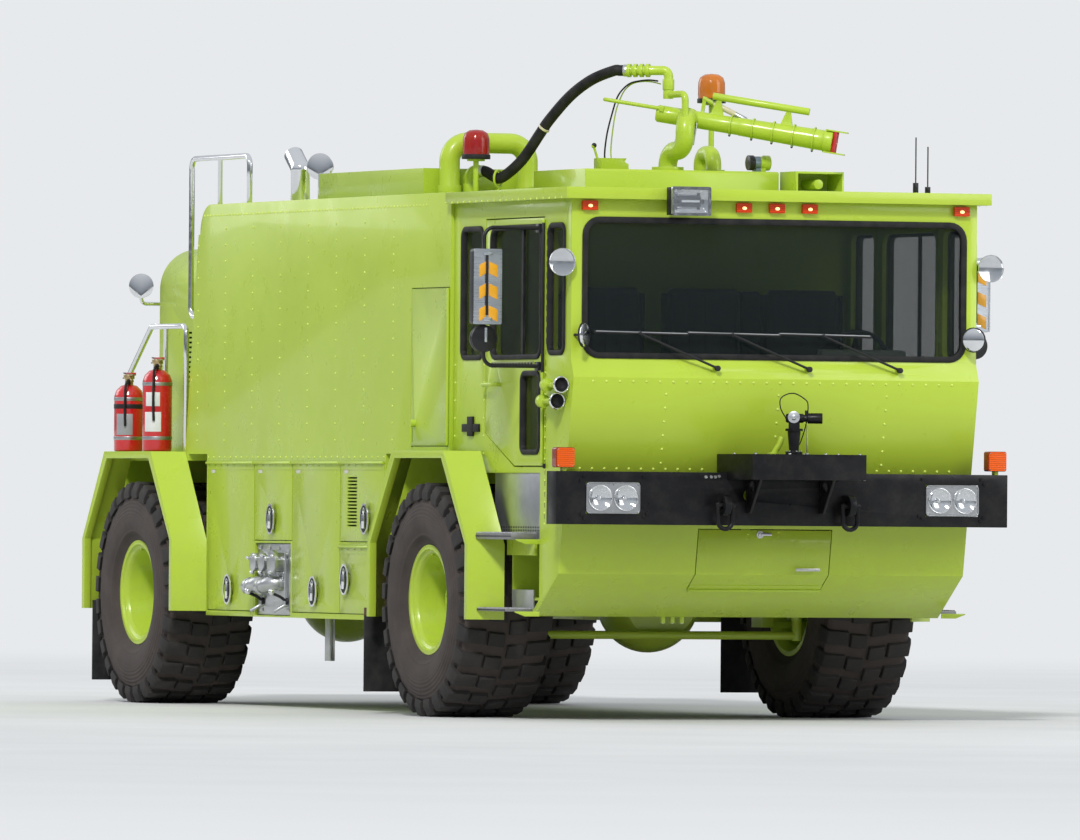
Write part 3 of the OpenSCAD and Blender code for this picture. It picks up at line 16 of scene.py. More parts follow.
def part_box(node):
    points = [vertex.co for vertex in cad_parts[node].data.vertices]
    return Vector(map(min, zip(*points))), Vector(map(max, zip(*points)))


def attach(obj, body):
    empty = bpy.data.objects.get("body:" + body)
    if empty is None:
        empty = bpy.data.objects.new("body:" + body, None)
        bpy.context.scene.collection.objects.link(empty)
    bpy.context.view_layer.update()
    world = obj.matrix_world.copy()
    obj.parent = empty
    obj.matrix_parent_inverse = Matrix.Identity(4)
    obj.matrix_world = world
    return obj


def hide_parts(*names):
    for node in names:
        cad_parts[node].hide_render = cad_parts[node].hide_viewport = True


bl_info = {
    "name": "Airport Fire Truck",
    "version": (1, 0, 0),
    "blender": (4, 5, 0),
    "location": "View3D > Sidebar > Fire Truck",
    "description": "Finishes and fine pieces of an airport fire truck",
    "category": "Object",
}

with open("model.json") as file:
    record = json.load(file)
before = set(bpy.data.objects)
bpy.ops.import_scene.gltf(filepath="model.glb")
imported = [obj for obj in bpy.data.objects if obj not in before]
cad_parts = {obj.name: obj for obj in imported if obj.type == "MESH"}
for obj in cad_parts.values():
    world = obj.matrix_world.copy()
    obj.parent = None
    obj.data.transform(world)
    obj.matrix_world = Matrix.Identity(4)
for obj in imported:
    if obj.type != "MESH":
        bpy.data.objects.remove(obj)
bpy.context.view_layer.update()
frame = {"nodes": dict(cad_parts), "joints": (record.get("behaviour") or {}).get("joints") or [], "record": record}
JOINTS = {j["name"]: j for j in frame["joints"]}
BODIES = frame["record"]["behaviour"]["bodies"]
BODY_OF = {node: body for body, nodes in BODIES.items() for node in nodes}
# Place of the front axle in the frame, in metres
AXLE_Y = JOINTS["steering"]["pos_m"][1]
MM = 0.001
CHASSIS = "chassis"


def side_of(node):
    return -1 if node.endswith("right") else 1


def corners(node):
    """Lowest and highest corner of a CAD node, in millimetres from the front axle."""
    shift = Vector((0, AXLE_Y, 0))
    return [(c - shift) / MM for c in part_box(node)]


# Values that a user would change


class TruckPaint(bpy.types.PropertyGroup):
    """Colours and finish of the truck's surfaces"""

    lime: bpy.props.FloatVectorProperty(
        name="Lime", description="Colour of the body paint", subtype="COLOR", size=3,
        default=(0.42, 0.565, 0.042), min=0, max=1)
    bumper: bpy.props.FloatVectorProperty(
        name="Bumper black", description="Colour of the bumper paint", subtype="COLOR", size=3,
        default=(0.006, 0.006, 0.007), min=0, max=1)
    bottle: bpy.props.FloatVectorProperty(
        name="Extinguisher red", description="Colour of the extinguishers", subtype="COLOR", size=3,
        default=(0.55, 0.008, 0.010), min=0, max=1)
    rubber: bpy.props.FloatVectorProperty(
        name="Tyre rubber", description="Colour of the dusty tyre walls", subtype="COLOR", size=3,
        default=(0.062, 0.048, 0.042), min=0, max=1)
    amber: bpy.props.FloatVectorProperty(
        name="Amber", description="Colour of the amber lenses", subtype="COLOR", size=3,
        default=(0.95, 0.17, 0.01), min=0, max=1)
    gloss: bpy.props.FloatProperty(
        name="Paint roughness", description="Roughness of the body paint", default=0.3,
        min=0.05, max=0.8, subtype="FACTOR")


class TruckWheels(bpy.types.PropertyGroup):
    """Sizes of the tyres and their tread"""

    radius: bpy.props.FloatProperty(
        name="Tyre radius", description="Radius over the lugs, in millimetres", default=675,
        min=660, max=680)
    width: bpy.props.FloatProperty(
        name="Tyre width", description="Width over the side walls, in millimetres", default=580,
        min=560, max=590)
    lugs: bpy.props.IntProperty(
        name="Lugs", description="Lugs round each half of the tread", default=28, min=20, max=36)
    lug_height: bpy.props.FloatProperty(
        name="Lug height", description="Height of the tread lugs, in millimetres", default=24,
        min=12, max=30)


class TruckFasteners(bpy.types.PropertyGroup):
    """Sizes of the rivets and bolts"""

    rivet_radius: bpy.props.FloatProperty(
        name="Rivet radius", description="Radius of a rivet head, in millimetres", default=8,
        min=3, max=12)
    rivet_pitch: bpy.props.FloatProperty(
        name="Rivet pitch", description="Distance between rivets, in millimetres", default=95,
        min=40, max=200)
    bolt_radius: bpy.props.FloatProperty(
        name="Bolt radius", description="Radius of a bolt head, in millimetres", default=11,
        min=6, max=20)


class TruckStage(bpy.types.PropertyGroup):
    """Camera and light"""

    lens: bpy.props.FloatProperty(
        name="Lens", description="Focal length of the camera", default=441.2, min=50, max=900)
    key: bpy.props.FloatProperty(
        name="Key light", description="Strength of the sun lamp", default=2.1, min=0, max=10)
    sky: bpy.props.FloatProperty(
        name="Sky", description="Strength of the soft light from all round", default=0.62, min=0,
        max=3)


# Mesh work: shapes are drawn in millimetres from the front axle

X, Y, Z = (1, 0, 0), (0, 1, 0), (0, 0, 1)
FRONT = (0, -1, 0)
TO_FRAME = Matrix.Translation((0, AXLE_Y, 0)) @ Matrix.Scale(MM, 4)
BEVEL_FROM = math.radians(32)
WELD_GAP = 0.00002


def linked(name, data):
    """New object of the scene for the data."""
    obj = bpy.data.objects.new(name, data)
    bpy.context.scene.collection.objects.link(obj)
    return obj


def mesh_of(bm, name):
    mesh = bpy.data.meshes.new(name)
    bm.to_mesh(mesh)
    bm.free()
    return mesh


def evaluated(obj):
    """Plain mesh of the object with its modifiers applied."""
    bpy.context.view_layer.update()
    depsgraph = bpy.context.evaluated_depsgraph_get()
    return bpy.data.meshes.new_from_object(obj.evaluated_get(depsgraph))


def circle(r, centre=(0, 0), sides=32, start=0.0):
    """Points round a circle; start is in steps."""
    turns = [2 * math.pi * (k + start) / sides for k in range(sides)]
    return [(centre[0] + r * math.cos(a), centre[1] + r * math.sin(a)) for a in turns]


def frame_to(axis):
    """Turn that carries +Z onto the axis."""
    return Vector(axis).to_track_quat("Z", "Y").to_matrix().to_4x4()


def placed(origin, u=X, v=Z):
    """Matrix that carries X onto u, Y onto v and the origin onto the given one."""
    u, v = Vector(u).normalized(), Vector(v).normalized()
    return Matrix.Translation(origin) @ Matrix((u, v, u.cross(v))).transposed().to_4x4()


def rounded(points, radius, steps=6):
    """The points with each inner corner replaced by an arc."""
    pts = [Vector(p) for p in points]
    out = [pts[0]]
    for a, b, c in zip(pts, pts[1:], pts[2:]):
        u, v = (a - b).normalized(), (c - b).normalized()
        half = u.angle(v) / 2
        if half > math.radians(89):
            out.append(b)
            continue
        cut = min(radius / math.tan(half), (a - b).length * 0.49, (c - b).length * 0.49)
        centre = b + (u + v).normalized() * (cut * math.tan(half) / math.sin(half))
        p, q = b + u * cut - centre, b + v * cut - centre
        out += [centre + p.slerp(q, k / steps, p) for k in range(steps + 1)]
    return out + [pts[-1]]


def smooth_path(points, steps):
    """Smooth curve through the points."""
    pts = [Vector(p) for p in points]
    out = []
    n = len(pts) - 1
    for i in range(n):
        a, b, c, d = pts[max(i - 1, 0)], pts[i], pts[i + 1], pts[min(i + 2, n)]
        for t in (k / steps for k in range(steps)):
            out.append(0.5 * (2 * b + (c - a) * t + (2 * a - 5 * b + 4 * c - d) * t * t
                              + (3 * b - a - 3 * c + d) * t ** 3))
    return out + [pts[-1]]


def round_rect(w, h, r, steps=6):
    """Closed outline of a rounded rectangle about the origin."""
    out = []
    for cx, cy, start in ((w / 2 - r, h / 2 - r, 0), (r - w / 2, h / 2 - r, 90),
                          (r - w / 2, r - h / 2, 180), (w / 2 - r, r - h / 2, 270)):
        for k in range(steps + 1):
            a = math.radians(start + 90 * k / steps)
            out.append((cx + r * math.cos(a), cy + r * math.sin(a)))
    return out


def loop_on(centre, u, v, w, h, r):
    """Rounded rectangle about the centre, drawn along u and v."""
    c, u, v = Vector(centre), Vector(u), Vector(v)
    return [c + u * a + v * b for a, b in round_rect(w, h, r)]


def punched(outline, holes, thick):
    """Flat plate with holes through it, as a mesh about the origin."""
    curve = bpy.data.curves.new("plate", "CURVE")
    curve.dimensions = "2D"
    curve.fill_mode = "BOTH"
    curve.extrude = thick / 2
    for loop in (outline, *holes):
        spline = curve.splines.new("POLY")
        spline.points.add(len(loop) - 1)
        for point, (a, b) in zip(spline.points, loop):
            point.co = (a, b, 0, 1)
        spline.use_cyclic_u = True
    obj = linked("plate", curve)
    mesh = evaluated(obj)
    bpy.data.objects.remove(obj)
    return mesh


class Shape:
    """Gathers simple solids into one mesh."""

    def __init__(self):
        self.bm = bmesh.new()

    def _place(self, verts, centre, turn=None, size=(1, 1, 1)):
        matrix = Matrix.Translation(centre)
        if turn is not None:
            matrix = matrix @ turn
        bmesh.ops.transform(self.bm, matrix=matrix @ Matrix.Diagonal((*size, 1)), verts=verts)

    def _band(self, a, b):
        """Faces between two rings of vertices, the rings closed."""
        for k in range(len(a)):
            j = (k + 1) % len(a)
            self.bm.faces.new((a[k], a[j], b[j], b[k]))

    def box(self, low, high, turn=None):
        low, high = Vector(low), Vector(high)
        made = bmesh.ops.create_cube(self.bm, size=1)["verts"]
        self._place(made, (low + high) / 2, turn, high - low)

    def block(self, at, low, high):
        """Box between two corners given from a place."""
        self.box(at + Vector(low), at + Vector(high))

    def disc(self, centre, axis, r, h, sides=32, r2=None):
        """Cylinder or cone from the centre along the axis."""
        made = bmesh.ops.create_cone(self.bm, cap_ends=True, segments=sides, radius1=r,
                                     radius2=r if r2 is None else r2, depth=h)["verts"]
        self._place(made, centre, frame_to(axis) @ Matrix.Translation((0, 0, h / 2)))

    def ball(self, centre, r, squash=(1, 1, 1)):
        made = bmesh.ops.create_uvsphere(self.bm, u_segments=20, v_segments=12, radius=r)["verts"]
        self._place(made, centre, None, squash)

    def lathe(self, profile, centre, axis, steps=48):
        """Turns a profile of (radius, height) about the axis."""
        m = Matrix.Translation(centre) @ frame_to(axis)
        rings = []
        for r, h in profile:
            points = circle(r, sides=steps) if r else [(0, 0)]
            rings.append([self.bm.verts.new(m @ Vector((a, b, h))) for a, b in points])
        for a, b in zip(rings, rings[1:]):
            if len(a) == len(b):
                self._band(a, b)
                continue
            for k in range(steps):
                j = (k + 1) % steps
                face = (a[0], b[j], b[k]) if len(a) == 1 else (a[k], a[j], b[0])
                self.bm.faces.new(face)

    def sweep(self, points, outline, closed=False, up=Z):
        """Carries an outline of (side, up) along the points."""
        pts = [Vector(p) for p in points]
        n = len(pts)
        rings = []
        ref = Vector(up)
        for i, p in enumerate(pts):
            if closed:
                d = (pts[(i + 1) % n] - pts[i - 1]).normalized()
            else:
                d = (pts[min(i + 1, n - 1)] - pts[max(i - 1, 0)]).normalized()
            if not rings and abs(d.dot(ref)) > 0.98:
                ref = Vector(X)
            side = d.cross(ref).normalized()
            ref = side.cross(d)
            rings.append([self.bm.verts.new(p + side * a + ref * b) for a, b in outline])
        for i in range(n if closed else n - 1):
            self._band(rings[i], rings[(i + 1) % n])
        if not closed:
            self.bm.faces.new(rings[0][::-1])
            self.bm.faces.new(rings[-1])

    def tube(self, points, r, bend=0, sides=14, closed=False):
        self.sweep(rounded(points, bend) if bend else points, circle(r, sides=sides), closed)

    def between(self, low, high):
        """Solid between two outlines of the same number of points."""
        a, b = ([self.bm.verts.new(p) for p in ring] for ring in (low, high))
        self.bm.faces.new(a)
        self.bm.faces.new(b[::-1])
        self._band(b, a)
        return a + b

    def prism(self, outline, origin, u, v, depth):
        """Plate with the outline drawn along u and v, thickened by the vector depth."""
        o, u, v, d = Vector(origin), Vector(u), Vector(v), Vector(depth)
        low = [o + u * a + v * b for a, b in outline]
        self.between(low, [p + d for p in low])

    def plate(self, outline, holes, thick, at, u=X, v=Z):
        """Plate with holes, about a place and drawn along u and v; at may be a matrix."""
        start = len(self.bm.verts)
        flat = punched(outline, holes, thick)
        self.bm.from_mesh(flat)
        bpy.data.meshes.remove(flat)
        self.bm.verts.ensure_lookup_table()
        matrix = at if isinstance(at, Matrix) else placed(at, u, v)
        bmesh.ops.transform(self.bm, matrix=matrix, verts=self.bm.verts[start:])

    def gasket(self, centre, u, facing, w, h, r, wide=30, proud=9, deep=22):
        """Rubber bead that lies over the edge of an opening and reaches down into it."""
        edge = [(-wide / 2, -deep), (wide / 2, -deep), (wide / 2, proud * 0.55),
                (wide * 0.28, proud), (-wide * 0.28, proud), (-wide / 2, proud * 0.55)]
        self.sweep(loop_on(centre, u, Z, w, h, r), edge, closed=True, up=facing)

    def object(self, name, finish, bevel=0.0, smooth=40.0):
        """Turns the shape into an object in the frame's metres."""
        bmesh.ops.recalc_face_normals(self.bm, faces=self.bm.faces[:])
        bmesh.ops.transform(self.bm, verts=self.bm.verts[:], matrix=TO_FRAME)
        obj = linked(name, mesh_of(self.bm, name))
        obj.data.materials.append(finish)
        soften(obj, bevel, smooth)
        return obj


def shapes(count):
    return [Shape() for _ in range(count)]


def soften(obj, bevel, angle=40.0, weld=False):
    """Rounds the edges by bevel millimetres and shades all but sharp ones smooth."""
    if weld:
        obj.modifiers.new("Weld", "WELD").merge_threshold = WELD_GAP
    if bevel:
        edge = obj.modifiers.new("Edges", "BEVEL")
        edge.width = bevel * MM
        edge.segments = 2
        edge.limit_method = "ANGLE"
        edge.angle_limit = BEVEL_FROM
    shade = obj.modifiers.new("Shade", "NODES")
    shade.node_group = smooth_by_angle()
    shade[socket_id(shade.node_group, "Angle")] = math.radians(angle)


def piece(obj, body, replaces=()):
    """Hands the object over to a CAD body and hides the CAD nodes that it replaces."""
    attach(obj, body)
    if replaces:
        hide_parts(*replaces)
    return obj


def hand_over(*rows, body=CHASSIS, replaces=()):
    """Pieces from rows of shape, name, finish, slot and, if wanted, bevel and smoothing angle; the slot is not
    used.
    """
    for shape, name, finish, slot, *edges in rows:
        piece(shape.object(name, finish, *edges), body, replaces)


# Geometry Nodes


def feed(tree, socket, value):
    """Links an output to the input, or sets the input's value."""
    if isinstance(value, bpy.types.NodeSocket):
        tree.links.new(value, socket)
    elif value is not None:
        socket.default_value = value


def add(tree, kind, inputs=None, out=0, **settings):
    """Adds a node with its settings and inputs, and gives back one of its outputs."""
    node = tree.nodes.new(kind)
    for key, value in settings.items():
        setattr(node, key, value)
    for key, value in (inputs or {}).items():
        feed(tree, node.inputs[key], value)
    return node.outputs[out]


def maths(tree, operation, *values):
    return add(tree, "ShaderNodeMath", dict(enumerate(values)), operation=operation)


def socket_id(group, name):
    for item in group.interface.items_tree:
        if item.item_type == "SOCKET" and item.in_out == "INPUT" and item.name == name:
            return item.identifier
    raise KeyError(name)


def grower(name, inputs, draw):
    """Tree of that name with named inputs; draw gives its result from the group and its inputs."""
    group = bpy.data.node_groups.get(name)
    if group:
        return group
    group = bpy.data.node_groups.new(name, "GeometryNodeTree")
    group.interface.new_socket("Geometry", in_out="OUTPUT", socket_type="NodeSocketGeometry")
    for label, kind, value in (("Geometry", "Geometry", None), *inputs):
        item = group.interface.new_socket(label, in_out="INPUT", socket_type="NodeSocket" + kind)
        if value is not None:
            item.default_value = value
    result = draw(group, group.nodes.new("NodeGroupInput").outputs)
    feed(group, group.nodes.new("NodeGroupOutput").inputs["Geometry"], result)
    return group


def made_real(group, instances, finish):
    """Realized instances with the material set."""
    real = add(group, "GeometryNodeRealizeInstances", {"Geometry": instances})
    return add(group, "GeometryNodeSetMaterial", {"Geometry": real, "Material": finish})


def smooth_by_angle():
    """Tree that shades an object smooth, but for edges sharper than the angle."""
    def draw(group, given):
        test = add(group, "FunctionNodeCompare", {
            "A": add(group, "GeometryNodeInputMeshEdgeAngle", out="Unsigned Angle"),
            "B": given["Angle"]}, operation="LESS_EQUAL")
        faces = add(group, "GeometryNodeSetShadeSmooth", {"Geometry": given["Geometry"]})
        return add(group, "GeometryNodeSetShadeSmooth", {"Geometry": faces, "Shade Smooth": test},
                   domain="EDGE")
    return grower("Smooth By Angle Tree", [("Angle", "Float", 0.7)], draw)


def head_tree():
    """Tree that sets a rivet or bolt head on each vertex, standing along its facing attribute."""
    def draw(group, given):
        head = add(group, "GeometryNodeMeshCone", {
            "Vertices": given["Sides"], "Radius Bottom": given["Radius"], "Depth": given["Height"],
            "Radius Top": maths(group, "MULTIPLY", given["Radius"], given["Crown"])})
        facing = add(group, "GeometryNodeInputNamedAttribute", {"Name": "facing"}, "Attribute",
                     data_type="FLOAT_VECTOR")
        align = add(group, "FunctionNodeAlignRotationToVector", {"Vector": facing}, axis="Z")
        put = add(group, "GeometryNodeInstanceOnPoints", {
            "Points": given["Geometry"], "Instance": head, "Rotation": align})
        return made_real(group, put, given["Material"])
    return grower("Heads On Points", [
        ("Radius", "Float", 0.007), ("Height", "Float", 0.003), ("Crown", "Float", 0.6),
        ("Sides", "Int", 10), ("Material", "Material", None)], draw)


def wheel_tree():
    """Tree that sets copies of the input round the X axis through the origin."""
    def draw(group, given):
        line = add(group, "GeometryNodeMeshLine", {"Offset": (0, 0, 0), "Count": given["Count"]})
        part = maths(group, "DIVIDE", add(group, "GeometryNodeInputIndex"), given["Count"])
        turn = add(group, "ShaderNodeCombineXYZ",
                   {"X": maths(group, "MULTIPLY", part, 2 * math.pi)})
        put = add(group, "GeometryNodeInstanceOnPoints", {
            "Points": line, "Instance": given["Geometry"], "Rotation": turn})
        return made_real(group, put, given["Material"])
    return grower("Copies Round Axle", [("Count", "Int", 28), ("Material", "Material", None)], draw)


def grown(obj, group, values):
    """Runs the tree on the object and gives back the result as a plain mesh object."""
    mod = obj.modifiers.new("Grow", "NODES")
    mod.node_group = group
    for label, value in values.items():
        mod[socket_id(group, label)] = value
    obj.update_tag()
    mesh, name = evaluated(obj), obj.name
    bpy.data.objects.remove(obj)
    return linked(name, mesh)


def heads(name, body, finish, spots, radius, height=3.0, crown=0.6, sides=10):
    """Rivet or bolt heads at spots of (place, facing), in millimetres."""
    mesh = bpy.data.meshes.new(name)
    mesh.from_pydata([TO_FRAME @ Vector(p) for p, _ in spots], [], [])
    layer = mesh.attributes.new("facing", "FLOAT_VECTOR", "POINT")
    for i, (_, facing) in enumerate(spots):
        layer.data[i].vector = Vector(facing).normalized()
    made = grown(linked(name, mesh), head_tree(), {
        "Radius": radius * MM, "Height": height * MM, "Crown": crown, "Sides": sides,
        "Material": finish})
    soften(made, 0, 50)
    return piece(made, body)


def line_of(a, b, facing, pitch):
    """Spots from a to b at about the pitch."""
    a, b = Vector(a), Vector(b)
    n = max(1, round((b - a).length / pitch))
    return [(a.lerp(b, k / n), facing) for k in range(n + 1)]


def surface(mesh):
    return BVHTree.FromPolygons([v.co for v in mesh.vertices], [p.vertices[:] for p in mesh.polygons])


def landed(node, spots, reach=60):
    """The spots moved along their facing onto a CAD node's surface; those that miss are left out."""
    tree = surface(frame["nodes"][node].data)
    back = TO_FRAME.inverted()
    out = []
    for place, facing in spots:
        ray = Vector(facing).normalized()
        start = TO_FRAME @ (Vector(place) + ray * reach)
        hit, normal, _, _ = tree.ray_cast(start, -ray, 2 * reach * MM)
        if hit is not None and abs(normal.dot(ray)) > 0.8:
            out.append((back @ hit, normal if normal.dot(ray) > 0 else -normal))
    return out


# Materials


def coordinates(tree, stretch=(1, 1, 1)):
    coords = add(tree, "ShaderNodeTexCoord", out="Object")
    return add(tree, "ShaderNodeMapping", {"Vector": coords, "Scale": stretch})


def noise(tree, place, scale, detail=4.0, rough=0.55):
    return add(tree, "ShaderNodeTexNoise",
               {"Scale": scale, "Detail": detail, "Roughness": rough, "Vector": place}, "Fac")


def wave(tree, place, direction, scale, distortion=0.0):
    return add(tree, "ShaderNodeTexWave",
               {"Scale": scale, "Distortion": distortion, "Vector": place}, "Fac",
               bands_direction=direction)


def spread(tree, value, low, high, to_low=0.0, to_high=1.0, **settings):
    return add(tree, "ShaderNodeMapRange", {
        "Value": value, "From Min": low, "From Max": high, "To Min": to_low, "To Max": to_high},
        **settings)


def cloud(tree, place, scale, detail, rough, low, high, to_low=0.0, to_high=1.0):
    """Noise spread from one range over another."""
    return spread(tree, noise(tree, place, scale, detail, rough), low, high, to_low, to_high)


def blend(tree, factor, a, b, kind="RGBA"):
    """Mix of two colours, or of two numbers with the kind VALUE, each a value or an output."""
    node = tree.nodes.new("ShaderNodeMix")
    node.data_type = "RGBA" if kind == "RGBA" else "FLOAT"
    sockets = [s for s in node.inputs if s.type == kind]
    for socket, value in zip(sockets[-2:], (a, b)):
        feed(tree, socket, (*value[:3], 1) if isinstance(value, tuple) else value)
    feed(tree, node.inputs[0], factor)
    return next(s for s in node.outputs if s.type == kind)


def dim(colour, part):
    return tuple(c * part for c in colour)


def bump(tree, shader, heights):
    """Adds bump from (height, strength, distance) entries, one over the other."""
    last = None
    for height, strength, distance in heights:
        last = add(tree, "ShaderNodeBump", {
            "Strength": strength, "Distance": distance, "Height": height, "Normal": last})
    feed(tree, shader.inputs["Normal"], last)


def finish(name, colour, rough, metal=0.0, coat=0.0, coat_rough=0.06, mottle=None, sheen=None,
           bumps=(), ribs=None, stretch=(1, 1, 1), inputs=None, extra=None):
    """Material on Object coordinates, made once for each name.

    mottle is two colours and the values of the cloud that mixes them, sheen the values of the
    roughness's cloud, each of bumps a noise's values, strength and distance, and ribs a wave's
    axis, scale, strength and distance. inputs has the shader's other values, and the function
    extra adds what only this finish has.
    """
    mat = bpy.data.materials.get(name)
    if mat:
        return mat
    mat = bpy.data.materials.new(name)
    mat.use_nodes = True
    mat.diffuse_color = (*colour, 1)
    tree = mat.node_tree
    shader = tree.nodes["Principled BSDF"]
    values = {"Base Color": (*colour, 1), "Roughness": rough, "Metallic": metal,
              "Coat Weight": coat, "Coat Roughness": coat_rough, **(inputs or {})}
    place = coordinates(tree)
    along = place if stretch == (1, 1, 1) else coordinates(tree, stretch)
    for label, value in values.items():
        shader.inputs[label].default_value = value
    if mottle:
        first, second, *mixed = mottle
        feed(tree, shader.inputs["Base Color"],
             blend(tree, cloud(tree, place, *mixed), first, second))
    if sheen:
        feed(tree, shader.inputs["Roughness"], cloud(tree, along, *sheen))
    heights = [(noise(tree, along, *grain), strength, distance)
               for *grain, strength, distance in bumps]
    if ribs:
        axis, scale, strength, distance = ribs
        heights.append((wave(tree, place, axis, scale), strength, distance))
    if heights:
        bump(tree, shader, heights)
    if extra:
        extra(tree, shader, place)
    return mat


DUST = (0.30, 0.27, 0.15)
# Roughness of a noise that has no coarse grain
FINE = 0.55


def body_paint():
    """Lime enamel over sheet metal, a little dusty low down."""
    p = bpy.context.scene.truck_paint
    colour = tuple(p.lime)

    def dusty(tree, shader, place):
        clean = shader.inputs["Base Color"].links[0].from_socket
        height = add(tree, "ShaderNodeSeparateXYZ",
                     {"Vector": add(tree, "ShaderNodeTexCoord", out="Object")}, "Z")
        low = spread(tree, height, 0.25, 1.5, 1, 0)
        dust = maths(tree, "MULTIPLY", low, cloud(tree, place, 14, 8, 0.7, 0.42, 0.72, 0, 0.2))
        feed(tree, shader.inputs["Base Color"], blend(tree, dust, clean, DUST))

    return finish("Lime enamel", colour, p.gloss, coat=0.2, inputs={"Specular IOR Level": 0.35},
                  mottle=(colour, dim(colour, 0.93), 1.3, 3, FINE, 0.3, 0.7),
                  sheen=(6, 5, FINE, 0.3, 0.75, p.gloss - 0.06, p.gloss + 0.12),
                  bumps=((2.2, 2, FINE, 0.10, 0.02), (260, 2, FINE, 0.05, 0.001)), extra=dusty)


def bumper_paint():
    colour = tuple(bpy.context.scene.truck_paint.bumper)
    return finish("Bumper black", colour, 0.32, inputs={"Specular IOR Level": 0.22},
                  mottle=(colour, (0.05, 0.047, 0.04), 9, 8, 0.7, 0.45, 0.8, 0, 0.35),
                  sheen=(11, 6, FINE, 0.3, 0.7, 0.26, 0.45), bumps=((220, 2, FINE, 0.08, 0.001),))


def plain_paint(name, colour, rough=0.3, coat=0.4):
    """Enamel with slight mottling, for small parts."""
    return finish(name, colour, rough, coat=coat,
                  mottle=(colour, dim(colour, 0.86), 7, 4, FINE, 0.3, 0.7),
                  sheen=(17, 5, FINE, 0.3, 0.7, rough - 0.05, rough + 0.1),
                  bumps=((300, 2, FINE, 0.05, 0.001),))


def tyre_rubber(name="Tyre rubber", wall=True):
    """Rubber with road dust, browner on the side walls."""
    colour, second = (0.016, 0.015, 0.015), (0.035, 0.03, 0.027)
    if wall:
        colour = tuple(bpy.context.scene.truck_paint.rubber)
        second = dim(colour, 0.55)
    return finish(name, colour, 0.85, mottle=(colour, second, 5, 8, 0.65, 0.3, 0.75),
                  bumps=((90, 6, 0.7, 0.25, 0.002),))


def plain_rubber():
    colour = (0.006, 0.006, 0.007)
    return finish("Black rubber", colour, 0.6, inputs={"Specular IOR Level": 0.25},
                  mottle=(colour, (0.028, 0.027, 0.025), 12, 6, FINE, 0.35, 0.8),
                  bumps=((180, 4, FINE, 0.15, 0.001),))


def brushed(name="Brushed steel", colour=(0.60, 0.61, 0.62), rough=0.32):
    """Metal with a grain that runs along Z."""
    return finish(name, colour, rough, metal=1.0, stretch=(4, 4, 260),
                  mottle=(colour, dim(colour, 0.72), 5, 6, FINE, 0.3, 0.75),
                  sheen=(1, 3, FINE, 0.25, 0.75, rough - 0.08, rough + 0.14),
                  bumps=((1, 3, FINE, 0.06, 0.001),))


def bright_chrome():
    return finish("Chrome", (0.78, 0.79, 0.80), 0.08, metal=1.0,
                  sheen=(30, 6, FINE, 0.4, 0.8, 0.05, 0.2), bumps=((8, 2, FINE, 0.02, 0.002),))


def window_glass():
    return finish("Window glass", (0.012, 0.018, 0.018), 0.03,
                  inputs={"Alpha": 0.42, "Specular IOR Level": 0.8},
                  sheen=(3, 6, FINE, 0.4, 0.9, 0.02, 0.12))


def lens(name, colour, rough=0.12, glow=0.0):
    """Moulded lens: coloured plastic with fine ribs under a clear coat."""
    def ribbed(tree, shader, place):
        tint = blend(tree, wave(tree, place, "Z", 28), colour, dim(colour, 0.55))
        feed(tree, shader.inputs["Base Color"], tint)

    return finish(name, colour, rough, coat=0.25, coat_rough=0.04, ribs=("Z", 28, 0.3, 0.002),
                  inputs={"Specular IOR Level": 0.3, "Emission Color": (*colour, 1),
                          "Emission Strength": glow}, extra=ribbed)


def clear_lens():
    """Clear lamp glass with pressed flutes."""
    return finish("Clear lens", (0.30, 0.33, 0.36), 0.04, coat=0.6, coat_rough=0.02,
                  inputs={"Alpha": 0.22}, ribs=("X", 22, 0.35, 0.003))


def dome_plastic(name, colour):
    """See-through coloured plastic of a beacon's dome."""
    return finish(name, colour, 0.08, coat=0.4, coat_rough=0.03, ribs=("Z", 40, 0.2, 0.002),
                  inputs={"Alpha": 0.86, "Specular IOR Level": 0.4},
                  mottle=(colour, dim(colour, 0.6), 10, 4, FINE, 0, 1))


def moulded_plastic():
    return finish("Moulded plastic", (0.010, 0.010, 0.011), 0.5,
                  inputs={"Specular IOR Level": 0.3}, bumps=((140, 5, 0.7, 0.25, 0.001),),
                  mottle=((0.008, 0.008, 0.009), (0.022, 0.022, 0.024), 6, 5, FINE, 0, 1))


def grip_metal():
    """Galvanised grip strutting with dirt between its teeth."""
    return finish("Grip strutting", (0.52, 0.53, 0.54), 0.42, metal=0.9,
                  mottle=((0.55, 0.56, 0.58), (0.12, 0.11, 0.10), 22, 8, 0.7, 0.35, 0.75),
                  sheen=(22, 8, 0.7, 0.3, 0.8, 0.3, 0.65), bumps=((22, 8, 0.7, 0.2, 0.001),))


def seat_cloth():
    """Woven seat cloth."""
    def woven(tree, shader, place):
        weave = maths(tree, "MULTIPLY", *(wave(tree, place, axis, 90, 0.6) for axis in "XZ"))
        feed(tree, shader.inputs["Base Color"],
             blend(tree, weave, (0.020, 0.022, 0.027), (0.06, 0.062, 0.07)))
        bump(tree, shader, [(weave, 0.35, 0.001)])

    return finish("Seat cloth", (0.025, 0.027, 0.032), 0.9, inputs={"Sheen Weight": 0.35},
                  extra=woven)


def zone(tree, low, high):
    """1 between the two corners, in millimetres from the front axle, on either side of the truck."""
    split = tree.nodes.new("ShaderNodeSeparateXYZ")
    feed(tree, split.inputs["Vector"], add(tree, "ShaderNodeTexCoord", out="Object"))
    side = maths(tree, "ABSOLUTE", split.outputs["X"])
    total = 1
    for value, a, b, shift in zip((side, split.outputs["Y"], split.outputs["Z"]), low, high,
                                  (0, AXLE_Y, 0)):
        near = maths(tree, "COMPARE", value, (a + b) / 2 * MM + shift, (b - a) / 2 * MM)
        total = maths(tree, "MULTIPLY", near, total)
    return total


